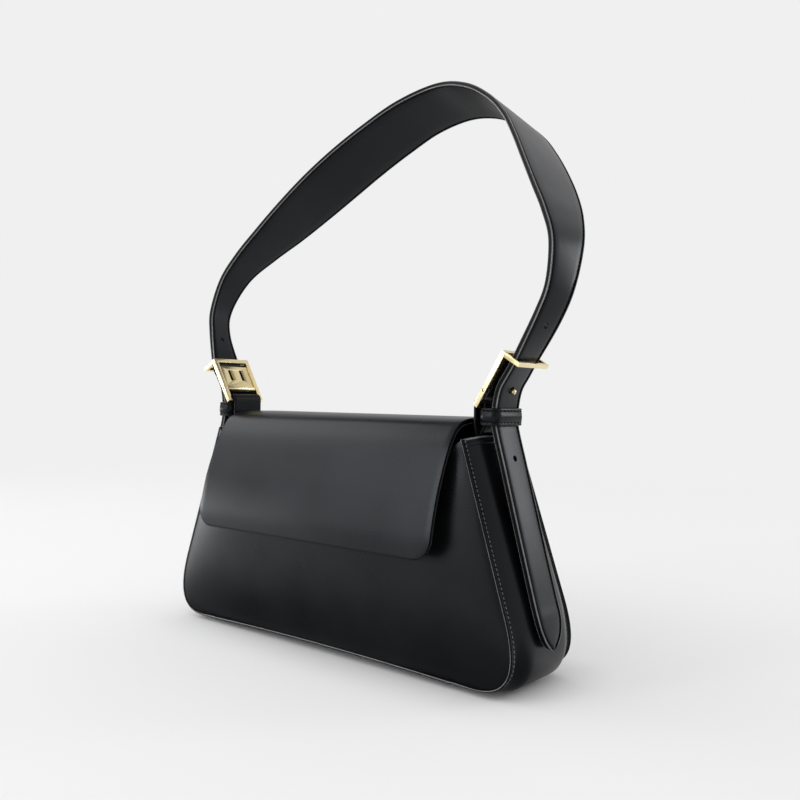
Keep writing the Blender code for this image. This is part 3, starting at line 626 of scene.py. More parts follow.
def twill_finish():
    cloth = Finish("black_lining_twill", Specular_IOR_Level=0.3)
    across, along, _ = cloth.parts(cloth.place("UV"))
    weave = (cloth.math("SINE", (across + along) * 9000.0) * 0.35
             + cloth.math("SINE", (across - along) * 4200.0) * 0.15 + 0.5)
    slub = cloth.noise(cloth.place(), 160.0, 4.0, 0.7)
    cloth.set("Base Color", cloth.mix(weave * 0.6 + slub * 0.4, (0.008, 0.008, 0.009, 1),
                                      (0.040, 0.039, 0.041, 1)))
    cloth.vary("Roughness", 0.72, (slub, 0.3))
    cloth.set("Normal", cloth.bump(weave + slub, 0.35, 0.0002))
    return cloth.material


def gold_finish():
    gold = Finish("polished_pale_gold", Metallic=1.0)
    where = gold.place()
    hairlines = gold.noise(gold.stretch(where, (260.0, 1500.0, 260.0)), 1.0, 4.0, 0.65)
    clouds = gold.noise(where, 90.0, 3.0)
    tone = gold.mix(clouds, (0.90, 0.72, 0.35, 1), (0.97, 0.82, 0.47, 1))
    gold.set("Base Color", gold.mix(gold.worn(0.50, 0.62) * 0.5, tone, (0.97, 0.91, 0.76, 1)))
    gold.vary("Roughness", 0.27, (hairlines, 0.16), (clouds, 0.06))
    gold.set("Normal", gold.bump(hairlines, 0.05, 0.00008))
    return gold.material


FINISHES = {
    "leather": leather_finish("smooth_black_leather", 0.30, 0.27, 0.05),
    "strap": leather_finish("strap_black_leather", 0.32, 0.26, 0.05),
    "strap_lining": leather_finish("strap_lining_leather", 0.38, 0.19, 0.0),
    "keeper": leather_finish("keeper_black_leather", 0.27, 0.12, 0.10),
    "edge": grained_finish("painted_edge", (420.0, 3.0), (0.002, 0.002, 0.0025),
                           (0.005, 0.005, 0.0055), (0.42, 0.2), (0.25, 0.0002), (0.03, 0.04),
                           ((0.3, 0.0), (0.8, 1.0)), Specular_IOR_Level=0.12,
                           Coat_Roughness=0.3),
    # Rims: glossy like burnished leather, with a grey base colour, far lighter than the black
    # leather, as a painted highlight along the ridges
    "rim": grained_finish("glossy_rim_painted_highlight", (160.0, 4.0, 0.6), (0.05, 0.051, 0.053),
                          (0.22, 0.222, 0.228), (0.24, 0.16), (0.15, 0.0002), (0.35, 0.3),
                          Specular_IOR_Level=0.5, Coat_Roughness=0.15),
    # Grooves: a base colour darker than the leather, with almost no gloss, as painted shade in the
    # recesses
    "groove": grained_finish("groove_painted_shade", (700.0, 3.0), (0.0012, 0.0012, 0.0014),
                             (0.0040, 0.0040, 0.0044), (0.62, 0.3), (0.4, 0.0002),
                             Specular_IOR_Level=0.05),
    "thread": thread_finish("waxed_thread", 0.004, 0.016),
    # The same black thread in a lighter grey: a painted highlight on the stitches
    "thread_painted_highlight": thread_finish("black_thread_painted_highlight", 0.06, 0.26),
    "lining": twill_finish(),
    "gold": gold_finish(),
    "steel": grained_finish("magnet_steel", (1.0, 3.0), (0.42, 0.42, 0.43), (0.60, 0.60, 0.61),
                            (0.30, 0.25), stretch=(900.0, 900.0, 120.0), Metallic=1.0),
    "board": grained_finish("grey_fibre_board", (1.0, 5.0, 0.7), (0.13, 0.11, 0.09),
                            (0.26, 0.22, 0.17), (0.85, 0.2), (0.4, 0.0003),
                            stretch=(300.0, 900.0, 300.0), Specular_IOR_Level=0.3),
}


def dress(piece, *looks):
    """Gives a piece its finishes; a face's number says which, and clear() would reset it."""
    mesh = piece.data
    numbers = [0] * len(mesh.polygons)
    mesh.polygons.foreach_get("material_index", numbers)
    mesh.materials.clear()
    for look in looks:
        mesh.materials.append(FINISHES[look])
    mesh.polygons.foreach_set("material_index", [min(n, len(looks) - 1) for n in numbers])
    return smooth(piece)


# Lines and sections

def smooth_path(points, steps):
    """Points along a smooth curve through the given ones, as tuples of any length."""
    out = []
    count = len(points)
    for i in range(count - 1):
        near = (points[max(i - 1, 0)], points[i], points[i + 1], points[min(i + 2, count - 1)])
        for k in range(steps):
            t = k / steps
            out.append(tuple(
                0.5 * (2 * b + (c - a) * t + (2 * a - 5 * b + 4 * c - d) * t * t
                       + (3 * b - a - 3 * c + d) * t * t * t)
                for a, b, c, d in zip(*near)))
    out.append(tuple(points[-1]))
    return out


def side_line(height):
    return BASE_LENGTH / 2 - SIDE_SLOPE * (height - EDGE_LIFT)


def half_depth(height):
    share = (height - EDGE_LIFT) / (MOUTH_HEIGHT - EDGE_LIFT)
    return (BASE_DEPTH + (MOUTH_DEPTH - BASE_DEPTH) * share) / 2


def corner_point(t):
    square = Vector((BASE_LENGTH / 2, EDGE_LIFT))
    start = Vector((side_line(CORNER_HEIGHT), CORNER_HEIGHT))
    end = Vector((CORNER_END, EDGE_LIFT))
    first = start.lerp(square, CORNER_SHARES[0])
    second = end.lerp(square, CORNER_SHARES[1])
    s = 1 - t
    return start * s ** 3 + first * 3 * s * s * t + second * 3 * s * t * t + end * t ** 3


def edge_height(reach):
    return EDGE_LIFT + EDGE_ARCH * max(0, 1 - (reach / CORNER_END) ** 2)


def side_outline(top, steps=24, turns=22):
    points = []
    for k in range(steps):
        height = top + (CORNER_HEIGHT - top) * k / steps
        points.append(Vector((side_line(height), height)))
    return points + [corner_point(k / turns) for k in range(turns + 1)]


def base_outline(start, end, steps):
    reaches = [start + (end - start) * k / steps for k in range(steps + 1)]
    return [Vector((reach, edge_height(abs(reach)))) for reach in reaches]


def with_normals(points):
    """Each point of a line with its outward direction."""
    out = []
    for i, point in enumerate(points):
        before, after = around(points, i)
        along = (after - before).normalized()
        out.append((point, Vector((-along.y, along.x))))
    return out


def swell(distance, half):
    return 1 - (1 - clamp((half - abs(distance) - SEAM_MARGIN) / (half - SEAM_MARGIN))) ** 4


def base_flat(distance, half):
    t = clamp((half - abs(distance) - SEAM_MARGIN) / (half * BASE_TURN_SHARE))
    return t * t * (3 - 2 * t)


def turn_under(point):
    return clamp((CORNER_HEIGHT - point.y) / (CORNER_HEIGHT - EDGE_LIFT - EDGE_ARCH))


def stand_out(point, y, bulge):
    half = half_depth(point.y)
    under = turn_under(point)
    arch = edge_height(abs(point.x)) - EDGE_LIFT
    return bulge[0] * swell(y, half) * (1 - under) + (bulge[1] + arch) * base_flat(y, half) * under


def spot(point, normal, out, y, side=1):
    """A point of the outline, moved outwards and set down at a depth."""
    return Vector((side * (point.x + normal.x * out), y, point.y + normal.y * out))


def strip_row(point, normal, depth, inset, bulge, side, columns=28):
    half = half_depth(point.y) - depth
    places = [half * (2 * k / columns - 1) for k in range(columns + 1)]
    return [spot(point, normal, stand_out(point, y, bulge) - inset, y, side) for y in places]


def outer_side(height, y):
    surface = [point + normal * stand_out(point, y, (SIDE_BULGE, EDGE_LIFT))
               for point, normal in with_normals(side_outline(MOUTH_HEIGHT))]
    for above, below in zip(surface, surface[1:]):
        if below.y <= height:
            return above.lerp(below, (above.y - height) / (above.y - below.y)).x
    return surface[-1].x


def beside_outline(height, out):
    return side_line(height) + out / cos(SIDE_LEAN)


TAB_THICKNESS = 2 * TAB_LEATHER + GAP
TAB_EDGE = abs(HARDWARE_SETBACK) + TAB_WIDTH / 2
TAB_OUT = (SIDE_BULGE * swell(TAB_EDGE, half_depth(MOUTH_HEIGHT)) - LEATHER - GAP
           - TAB_THICKNESS / 2)
HEEL = Vector((beside_outline(MOUTH_HEIGHT, TAB_OUT) + HEEL_STANDOUT, MOUTH_HEIGHT + HEEL_RISE))
LINING_INSET = LEATHER + GAP + MAGNET_THICKNESS + GAP
LINING_BULGE = TAB_OUT - TAB_THICKNESS / 2 + LEATHER
ALONG_LEG = Vector((sin(FRAME_LEAN), cos(FRAME_LEAN)))
OFF_LEG = Vector((cos(FRAME_LEAN), -sin(FRAME_LEAN)))


def frame_point(along, off):
    return HEEL + ALONG_LEG * along + OFF_LEG * off


# Thread, sewn along lines of (point, outward direction)

def make_stitch():
    stitch = rod_across("stitch", THREAD, STITCH * 0.62, 0, 0, 6)
    for end in (1, -1):
        pick(stitch, lambda middle, normal: normal.x * end > 0.9)
        bpy.ops.mesh.extrude_region_move(
            TRANSFORM_OT_translate={"value": (end * STITCH * 0.19, 0, -THREAD * 0.45)})
        bpy.ops.transform.resize(value=(1, 0.6, 0.6))
    lay_down()
    return stitch


STITCH_MODEL = make_stitch()
SEWING = random.Random(11)


def sew(name, seams, body, slot="shell_leather", pitch=PITCH, look="thread", slant=0.0):
    """Stitches along seams, each turned a little."""
    shape = [v.co.copy() for v in STITCH_MODEL.data.vertices]
    sides = [tuple(face.vertices) for face in STITCH_MODEL.data.polygons]
    points = []
    faces = []
    for seam in seams:
        line = [point for point, _ in seam]
        runs = runs_along(line)
        count = max(int(runs[-1] / pitch), 1)
        for k in range(count):
            i, share = find(runs, (k + 0.5) * runs[-1] / count)
            along = (line[i + 1] - line[i]).normalized()
            beside = seam[i][1].cross(along).normalized()
            along = (along + beside * (slant + SEWING.uniform(-0.07, 0.07))).normalized()
            turn = Matrix((along, beside, along.cross(beside).normalized())).transposed()
            at = line[i].lerp(line[i + 1], share)
            faces.extend(tuple(len(points) + v for v in side) for side in sides)
            points.extend(tuple(at + turn @ corner) for corner in shape)
    mesh = bpy.data.meshes.new(name)
    mesh.from_pydata(points, [], faces)
    hand_in(dress(merge(put_in(name, mesh)), look), body, slot)


def hand_in(piece, body, slot, *nodes):
    if body:
        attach(piece, body)
    if nodes:
        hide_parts(*nodes)


# Body of the bag


def lay_cloth(name, rows, thickness, body, node):
    """A sheet of lining cloth; its flat size and area are worked out but not used."""
    piece = dress(sheet(name, rows, thickness), "lining")
    hand_in(piece, body, "lining_cloth", node)
    across, down = (max(runs_along(line)[-1] for line in lines) for lines in (rows, [*zip(*rows)]))
    area = sum(((b[k + 1] - a[k]).cross(b[k] - a[k + 1])).length / 2
               for a, b in zip(rows, rows[1:]) for k in range(len(a) - 1))
    min(area, across * down)


def lay_leather(name, rows, node, body="bag", thickness=LEATHER, look="leather",
                slot="shell_leather", edge=0.3):
    """A sheet of leather with painted edges."""
    piece = dress(sheet(name, rows, thickness, rim=1, edge=edge), look, "edge")
    hand_in(piece, body, slot, node)
    return piece


def across_shares(count):
    """Shares from -1 to 1, closer together towards the ends."""
    even = [2 * k / count - 1 for k in range(count + 1)]
    return [sin(t * pi / 2) * 0.35 + t * 0.65 for t in even]


def panel_bulge(share, height, top, amount):
    """A belly that fills out soon above the bottom seam, and turns in at the side seams."""
    rise = clamp((height - EDGE_LIFT) / (top - EDGE_LIFT))
    belly = 1 - abs(1 - 2 * rise) ** (4 if rise < 0.5 else 2)
    belly *= 1 - exp(-(rise / 0.03) ** 2)
    return amount * belly * (1 - abs(share) ** 6)


def back_surface(height):
    """The back panel's face, midway along the bag."""
    return half_depth(height) + panel_bulge(0, height, HINGE_HEIGHT, BACK_BULGE)


def panel_rows(outline, middle_top, inset, facing, amount, bulge_top, columns=44):
    rows = []
    count = len(outline) - 1
    bottom = outline[-1].y + EDGE_ARCH
    for k, end in enumerate(outline):
        middle = middle_top + (bottom - middle_top) * k / count
        fade = max(0, 1 - k / 6)
        power = 2 + (DIP_POWER - 2) * fade * fade
        row = []
        for share in across_shares(columns):
            z = middle + (end.y - middle) * abs(share) ** power
            y = half_depth(z) - inset + panel_bulge(share, z, bulge_top, amount)
            row.append(Vector((end.x * share, facing * y, z)))
        rows.append(row)
    return rows


def gusset_outline(top):
    return with_normals(side_outline(top) + base_outline(CORNER_END, JOINT_REACH, 6)[1:])


def leather_strip(outline, bulge, side=1):
    return [strip_row(point, normal, LEATHER + GAP, LEATHER / 2, (bulge, EDGE_LIFT), side)
            for point, normal in outline]


def cloth_strip(outline, bulge, side=1):
    return [strip_row(point, normal, LINING_INSET + LINING + GAP, LEATHER + GAP + LINING / 2,
                      (bulge, LINING_BULGE), side, 16) for point, normal in outline]


def make_panels():
    outline = side_outline(MOUTH_HEIGHT)
    rows = panel_rows(outline, FRONT_HEIGHT, LEATHER / 2, -1, FRONT_BULGE, FRONT_HEIGHT)
    lay_leather("front_panel_leather", rows, "front_panel")
    ahead = Vector((0, -1, 0))
    shift = ahead * (LEATHER / 2 + THREAD * 0.2) - Vector((0, 0, MOUTH_SEAM_DROP))
    sew("front_rim_stitches", [[(point + shift, ahead) for point in rows[0][1:-1]]], "bag")

    hinge_end = Vector((FLAP_LENGTH / 2, HINGE_HEIGHT))
    shoulder = (outline[0].lerp(hinge_end, SHOULDER_SHARE).x, (MOUTH_HEIGHT + HINGE_HEIGHT) / 2)
    rise = smooth_path([hinge_end, shoulder, outline[0]], 3)
    outline = [Vector(point) for point in rise[:-1]] + outline
    rows = panel_rows(outline, HINGE_HEIGHT, LEATHER / 2, 1, BACK_BULGE, HINGE_HEIGHT)
    lay_leather("back_panel_leather", rows, "back_panel")


def make_gussets():
    for word, side in SIDES.items():
        rows = leather_strip(gusset_outline(MOUTH_HEIGHT), SIDE_BULGE, side)
        lay_leather(word + "_gusset_leather", rows, word + "_gusset")

        up = Vector((-side * sin(SIDE_LEAN), 0, cos(SIDE_LEAN)))
        for part, look, shift, rise, wide, high in GUSSET_RIMS:
            rings = []
            for i, point in enumerate(rows[0]):
                before, after = around(rows[0], i)
                out = (after - before).normalized().cross(up).normalized()
                out *= side * copysign(1, out.x)
                centre = point + out * shift + up * rise
                rings.append([centre + out * (wide * cos(tau * k / 12))
                              + up * (high * sin(tau * k / 12)) for k in range(12)])
            rim = dress(tube("%s_gusset_%s" % (word, part), rings), look)
            hand_in(rim, "bag", "shell_leather")

        rows = cloth_strip(gusset_outline(MOUTH_HEIGHT - LINING_DROP), LINING_BULGE, side)
        lay_cloth(word + "_gusset_cloth", rows, LINING, "bag", word + "_gusset_lining")


def make_base():
    down = Vector((0, -1))
    outline = [(point, down) for point in base_outline(JOINT_REACH - GAP, GAP - JOINT_REACH, 40)]
    lay_leather("base_leather", leather_strip(outline, 0), "base_panel")
    lay_cloth("base_cloth", cloth_strip(outline, 0), LINING, "bag", "base_lining")


def pocket_rows(steps=24):
    inset = LINING_INSET + LINING + GAP + LINING / 2
    rows = []
    for k in range(steps + 1):
        height = MOUTH_HEIGHT - POCKET_DROP - POCKET_DEPTH * k / steps
        row = []
        for share in across_shares(30):
            x = POCKET_LENGTH / 2 * share
            slack = POCKET_SLACK * (1 - share ** 2) * (1 - k / steps) ** 2
            bulge = panel_bulge(x / side_line(height), height, HINGE_HEIGHT, BACK_BULGE)
            row.append(Vector((x, half_depth(height) - inset - slack + bulge, height)))
        rows.append(row)
    return rows


def make_linings():
    top = MOUTH_HEIGHT - LINING_DROP
    inset = LEATHER + GAP
    outline = [point - normal * inset for point, normal in with_normals(side_outline(top))]
    outline[0].y = top
    outline[-1].y = EDGE_LIFT + inset
    jobs = (("front", -1, FRONT_HEIGHT, FRONT_BULGE, FRONT_HEIGHT),
            ("back", 1, MOUTH_HEIGHT, BACK_BULGE, HINGE_HEIGHT))
    for word, facing, middle_top, amount, bulge_top in jobs:
        rows = panel_rows(outline, middle_top - LINING_DROP, LINING_INSET + LINING / 2, facing,
                          amount, bulge_top, 30)
        lay_cloth(word + "_cloth", rows, LINING, "bag", word + "_lining")

    rows = pocket_rows()
    lay_cloth("slip_pocket_cloth", rows, LINING, "bag", "inner_pocket")
    inward = Vector((0, -1, 0))
    lift = inward * (LINING / 2 + THREAD * 0.2)
    margin = Vector((0, 0, POCKET_MARGIN))
    lines = [[row[1] for row in rows], [row[-2] for row in rows],
             [point - margin for point in rows[0]], [point + margin for point in rows[-1]]]
    seams = [[(point + lift, inward) for point in line] for line in lines]
    sew("pocket_stitches", seams, "bag", "lining_cloth")


# Binding's section: how far in from the panel's face, and how far out from the outline
BINDING_SECTION = (
    (0.00020, 0.00002), (-0.00030, 0.00028), (-0.00040, 0.00074), (-0.00014, 0.00120),
    (0.00034, 0.00138), (0.00080, 0.00120), (0.00112, 0.00074), (0.00138, 0.00052),
    (0.00176, 0.00066), (0.00212, 0.00068), (0.00245, 0.00050), (0.00278, 0.00068),
    (0.00322, 0.00066), (0.00352, 0.00040), (0.00345, 0.00014), (0.00250, 0.00002),
)
# Each face's finish: 0 leather, 1 edge paint, 2 rim with a painted highlight, 3 groove with
# painted shade
BINDING_LOOKS = (3, 2, 1, 1, 1, 3, 3, 0, 0, 3, 3, 0, 0, 0, 0, 0)
BINDING_SEAM = 0.00245
BINDING_BEAD = 0.00112
BASE_BEAD = 1.4              # how much prouder the bead is along the base
NOTCH_DEPTH = 0.65           # where the gussets' ends meet the base
NOTCH_WIDTH = 0.0009
# Which seam, towards which side, how wide its strip is, how proud its bead stands, its thread,
# and how far the thread stands out, in threads
# The front seam's lighter thread is a painted highlight on black thread
BINDING_JOBS = (("front", -1, 1.65, 0.92, "thread_painted_highlight", 0.3),
                ("back", 1, 0.45, 0.40, "thread", -0.1))
BINDING_SLANT = 0.12         # of its stitches


def binding_line():
    right = side_outline(MOUTH_HEIGHT + 0.0002, 50, 34)
    base = base_outline(right[-1].x, -right[-1].x, 90)[1:-1]
    return with_normals(right + base + [Vector((-p.x, p.y)) for p in reversed(right)])


def make_bindings():
    for word, facing, strip, proud, thread, lift in BINDING_JOBS:
        section = [(inward + max(inward - BINDING_BEAD, 0) * (strip - 1), out)
                   for inward, out in BINDING_SECTION]
        seam_inward = BINDING_BEAD + (BINDING_SEAM - BINDING_BEAD) * strip
        rings = []
        seam = []
        for point, normal in binding_line():
            half = half_depth(point.y)
            past = abs(point.x) - JOINT_REACH if point.y < CORNER_HEIGHT / 2 else ANY
            full = proud * (BASE_BEAD if past < 0 else 1.0)
            full -= NOTCH_DEPTH * exp(-(past / NOTCH_WIDTH) ** 2)
            rings.append([spot(point, normal, out * full,
                               facing * (half - min(inward, inward * full)))
                          for inward, out in section])
            seam.append((spot(point, normal, 0.0005 * full + THREAD * lift,
                              facing * (half - seam_inward)), Vector((normal.x, 0, normal.y))))
        binding = dress(tube(word + "_binding_leather", rings, BINDING_LOOKS),
                        "strap", "edge", "rim", "groove")
        hand_in(binding, "bag", "shell_leather", word + "_edge_binding")
        sew(word + "_binding_stitches", [seam], "bag", look=thread, slant=BINDING_SLANT)


# Flap

def flap_profile():
    back = half_depth(HINGE_HEIGHT)
    points = [(back - (back + FLAP_REACH) * y, FLAP_BOTTOM + (FLAP_TOP - FLAP_BOTTOM) * z)
              for y, z in FLAP_PROFILE_SHARES]
    return [Vector(p) for p in smooth_path([(back, HINGE_HEIGHT + HINGE_GAP)] + points, 6)]


def lap_profile():
    """From the lap's lower edge, up the back and over the fold to the flap's front edge."""
    heights = [HINGE_HEIGHT - LAP + (LAP + HINGE_GAP * 0.5) * k / 9 for k in range(9)]
    return [Vector((back_surface(height) + LAP_RISE * min(1, (9 - k) / 4), height))
            for k, height in enumerate(heights)] + flap_profile()


def flap_rows(line, offset, inset, start, turns=10):
    """Rows across the flap, whose two lower corners are rounded."""
    surface = [point + normal * offset for point, normal in with_normals(line)]
    runs = runs_along(line)
    length = runs[-1] - inset
    radius = FLAP_CORNER - inset
    stops = [run for run in runs if start <= run < length - radius - GAP]
    stops += [length - radius * (1 - sin(pi / 2 * k / turns)) for k in range(turns + 1)]
    rows = []
    for stop in stops:
        i, part = find(runs, stop)
        point = surface[i].lerp(surface[i + 1], part)
        over = max(stop - (length - radius), 0)
        half = FLAP_LENGTH / 2 - inset - radius + sqrt(max(radius ** 2 - over ** 2, 0))
        rows.append([Vector((half * share, point.x, point.y)) for share in across_shares(30)])
    return rows


def make_flap():
    rows = flap_rows(lap_profile(), FLAP_SKIN / 2, 0, 0)
    skin = lay_leather("flap_skin", rows, "flap_leather", None, FLAP_SKIN, edge=0.42)
    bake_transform(skin)

    rows = flap_rows(flap_profile(), FLAP_SKIN + FLAP_BOARD + FLAP_LINING / 2, 0.0006, 0.006)
    lay_cloth("flap_cloth", rows, FLAP_LINING, "flap", "flap_lining")

    height = HINGE_HEIGHT - LAP + LAP_SEAM_RISE
    y = back_surface(height) + LAP_RISE + THREAD * 0.2
    reach = FLAP_LENGTH / 2 - LAP_SEAM_INSET
    seam = [(Vector((reach * (1 - 2 * k / 59), y, height)), Vector((0, 1, 0)))
            for k in range(60)]
    sew("lap_stitches", [seam], "bag")


# Buckles, modelled flat: Y up the legs, Z outwards

def ring_block(name, size, at, axis, wall):
    """A block whose two faces along an axis are inset and bridged into a window."""
    piece = block(name, size, at)
    pick(piece, lambda middle, normal: abs(normal[axis]) > 0.9)
    bpy.ops.mesh.inset(thickness=wall, depth=0, use_individual=True)
    bpy.ops.mesh.bridge_edge_loops()
    lay_down()
    return piece


def drill(piece, width):
    """The cross pin's hole."""
    bore = rod_across("bore", PIN_DIAMETER + PIN_PLAY, width + BORE_ALLOWANCE, PIN_AT, 0)
    carve(piece, bore)


def model_frame():
    frame_piece = ring_block("frame_model", (FRAME_WIDTH, FRAME_LENGTH + FRAME_WIRE, FRAME_WIRE),
                             (0, FRAME_LENGTH / 2, 0), 2, FRAME_WIRE)
    loop_size = (FRAME_WIDTH - 2 * LOOP_INSET, LOOP_HEIGHT, LOOP_STEP + LOOP_WALL)
    loop = ring_block("loop_model", loop_size, (0, FRAME_LENGTH, LOOP_STEP / 2), 1, LOOP_WALL)
    carve(frame_piece, loop, "UNION")
    round_edges(frame_piece, FRAME_ROUNDING)
    drill(frame_piece, FRAME_WIDTH)
    for side in (-1, 1):
        dot = rod_across("dot", DOT_DIAMETER, DOT_DEPTH, FRAME_LENGTH, LOOP_STEP)
        dot.data.transform(Matrix.Translation((side * FRAME_WIDTH / 2, 0, 0)))
        carve(frame_piece, dot)
    return frame_piece


def model_plate():
    width = FRAME_WIDTH - 2 * FRAME_WIRE - 2 * GAP
    length = PLATE_END - PIN_AT
    middle = PLATE_END - length / 2
    plate = block("plate_model", (width, length, PLATE_THICKNESS), (0, middle, 0))
    carve(plate, rod_across("barrel", BARREL_DIAMETER, width - GAP, PIN_AT, 0, 32), "UNION")
    for k in (-1, 1):
        slot = block("slot", (SLOT_WIDTH, SLOT_LENGTH, 0.01),
                     (k * SLOT_SPREAD / 2, middle + BARREL_DIAMETER / 2, 0))
        carve(plate, round_edges(slot, SLOT_WIDTH * 0.45, 4))
    round_edges(plate, PLATE_ROUNDING, 2)
    drill(plate, width)
    return plate


def model_stud():
    ball = STUD_BALL / 2
    neck = STUD_NECK / 2
    rim = STUD_FLANGE / 2
    start = PLATE_THICKNESS / 2
    top = start + STUD_FLANGE_THICKNESS
    profile = [(rim - 0.0002, start), (rim, start + 0.0002), (rim, top),
               (rim - 0.0003, top + 0.0002), (neck + 0.0002, top + 0.0003), (neck, top + 0.0006)]
    low = asin(neck / ball)
    steps = 14
    for k in range(steps + 1):
        turn = pi - low + (0.02 - pi + low) * k / steps
        profile.append((ball * sin(turn), STUD_REACH + ball * cos(turn)))
    return turned("stud_model", profile)


def model_pin():
    half = FRAME_WIDTH / 2 - GAP
    radius = PIN_DIAMETER / 2
    profile = [(radius * 0.55, -half), (radius * 0.9, -half + 0.0001), (radius, -half + 0.0003),
               (radius, half - 0.0003), (radius * 0.9, half - 0.0001), (radius * 0.55, half)]
    pin = turned("pin_model", profile, 20)
    pin.data.transform(Matrix.Rotation(pi / 2, 4, "Y"))
    return pin


def leg_matrix(side, along=0.0):
    at = frame_point(along, 0)
    up = Vector((side * ALONG_LEG.x, 0, ALONG_LEG.y))
    out = Vector((side * OFF_LEG.x, 0, OFF_LEG.y))
    turn = Matrix((up.cross(out), up, out)).transposed().to_4x4()
    return Matrix.Translation((side * at.x, HARDWARE_SETBACK, at.y)) @ turn


def make_buckles():
    models = ((model_frame(), "buckle_frame", 0), (model_plate(), "stud_plate", 0),
              (model_pin(), "plate_pin", PIN_AT), (model_stud(), "ball_stud", STUD_HEIGHT))
    for model, part, along in models:
        for word, side in SIDES.items():
            piece = twin(model, "%s_%s_gold" % (word, part), leg_matrix(side, along))
            hand_in(dress(piece, "gold"), word + "_buckle", "pale_gold", "%s_%s" % (word, part))
        throw_away(model)


# Leather behind the slotted plate: how far up the legs, and how far out
FACING_PATH = (
    (0.0046, 0.0019), (0.0062, 0.0023), (0.0076, 0.0024), (0.0090, 0.00245), (0.0104, 0.0024),
    (0.0116, 0.0021), (0.0128, 0.0016), (0.0142, 0.00135), (0.0170, 0.0013), (0.0220, 0.0013),
    (0.0270, 0.0013), (0.0296, 0.0012), (0.0302, 0.0011),
)
FACING_WIDTH = 0.0240
FACING_THICKNESS = 0.0009
FACING_SPREAD = 0.0019       # further out behind the legs' lower ends
FACING_STEP = 0.0110


def make_facings():
    """Black leather that the strap lies against, with a hole for the stud's flange."""
    rows = []
    for along, out in smooth_path(FACING_PATH, 3):
        half = FACING_WIDTH / 2 + (FACING_SPREAD if along < FACING_STEP else 0)
        rows.append([Vector((half * share, along, out)) for share in across_shares(10)])
    model = sheet("facing_model", rows, FACING_THICKNESS)
    radius = STUD_FLANGE / 2 + GAP
    hole = turned("flange_hole", [(radius, -0.004), (radius, 0.008)])
    hole.data.transform(Matrix.Translation((0, STUD_HEIGHT, 0)))
    carve(model, hole)
    for word, side in SIDES.items():
        facing = dress(twin(model, word + "_plate_facing", leg_matrix(side)), "strap")
        hand_in(facing, word + "_buckle", "strap_leather")
    throw_away(model)


# Tabs and keepers

TAB_TURN = FRAME_WIRE * sqrt(0.5) + GAP + TAB_LEATHER / 2
KNEE = HEEL.y - KEEPER_DROP - KEEPER_HEIGHT


def tab_path():
    """Up the bag's side, round the heel bar and down again, as (x, z)."""
    foot = MOUTH_HEIGHT - TAB_ROOT
    neck = MOUTH_HEIGHT + SIDE_BULGE * sin(SIDE_LEAN)
    heights = [foot + (neck - foot) * k / 8 for k in range(9)]
    step = (TAB_LEATHER + GAP) / 2
    inner, outer = ([(beside_outline(height, TAB_OUT + layer * step), height)
                     for height in heights] for layer in (-1, 1))
    up = [(HEEL.x - TAB_TURN, KNEE + (HEEL.y - KNEE) * k / 6) for k in range(6)]
    angles = [pi * (1 - k / 18) for k in range(19)]
    arc = [(HEEL.x + TAB_TURN * cos(a), HEEL.y + TAB_TURN * sin(a)) for a in angles]
    down = [(HEEL.x + TAB_TURN, HEEL.y + (KNEE - HEEL.y) * k / 6) for k in range(1, 7)]
    return inner + up + arc + down + outer[::-1]


def make_tabs():
    for word, side in SIDES.items():
        rows = []
        for x, z in tab_path():
            grown = clamp((z - MOUTH_HEIGHT - TAB_GROWTH_START) / TAB_GROWTH_RUN)
            half = (TAB_WIDTH + (TAB_SHOWN - TAB_WIDTH) * grown) / 2
            rows.append([Vector((side * x, HARDWARE_SETBACK + half * share, z))
                         for share in across_shares(10)])
        tab = lay_leather(word + "_tab_leather", rows, word + "_tab", None, TAB_LEATHER,
                          "keeper", "strap_leather", 0.35)
        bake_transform(tab)


def rounded_plan(x0, x1, y0, y1, radius, turns=8):
    """A rounded rectangle's points and outward directions, seen from above."""
    out = []
    corners = ((x1 - radius, y1 - radius), (x0 + radius, y1 - radius),
               (x0 + radius, y0 + radius), (x1 - radius, y0 + radius))
    for quarter, (x, y) in enumerate(corners):
        for k in range(turns + 1):
            angle = pi / 2 * (quarter + k / turns)
            direction = Vector((cos(angle), sin(angle), 0))
            out.append((Vector((x, y, 0)) + direction * radius, direction))
    return out


def make_keepers():
    inner = HEEL.x + TAB_TURN - TAB_LEATHER / 2 - GAP
    outer = HEEL.x + STRAP_STANDOFF + STRAP_HALF + KEEPER_SLACK
    half_y = TAB_SHOWN / 2 + GAP
    plan = rounded_plan(inner, outer, -half_y, half_y, KEEPER_CORNER)
    high = KEEPER_HEIGHT / 2
    wall = KEEPER_WALL
    lower = [(out, up - high) for out, up in (
        (0, 0.0003), (0.00012, 0.0001), (0.0004, 0), (wall - 0.0003, 0), (wall + 0.0001, 0.0003),
        (wall + 0.0002, 0.0008), (wall - 0.0002, 0.0014), (wall - 0.0002, 0.0018),
        (wall + 0.0002, 0.0023))]
    section = lower + [(wall + 0.0004, 0)] + [(out, -z) for out, z in reversed(lower)] + [(0, 0)]

    def place(point, direction, out, up, side):
        at = point + direction * out
        return Vector((side * at.x, HARDWARE_SETBACK + at.y, KNEE + high + up))
    for word, side in SIDES.items():
        rings = [[place(*stop, out, up, side) for out, up in section] for stop in plan]
        keeper = dress(tube(word + "_keeper_leather", rings, endless=True), "keeper")
        hand_in(keeper, "strap", "strap_leather", word + "_keeper")
        seams = [[(place(*stop, wall - 0.0002 + THREAD * 0.3, edge * (high - STITCH_INSET), side),
                   Vector((side * stop[1].x, stop[1].y, 0))) for stop in plan + plan[:1]]
                 for edge in (-1, 1)]
        sew(word + "_keeper_stitches", seams, "strap", "strap_leather", KEEPER_PITCH)


# Strap

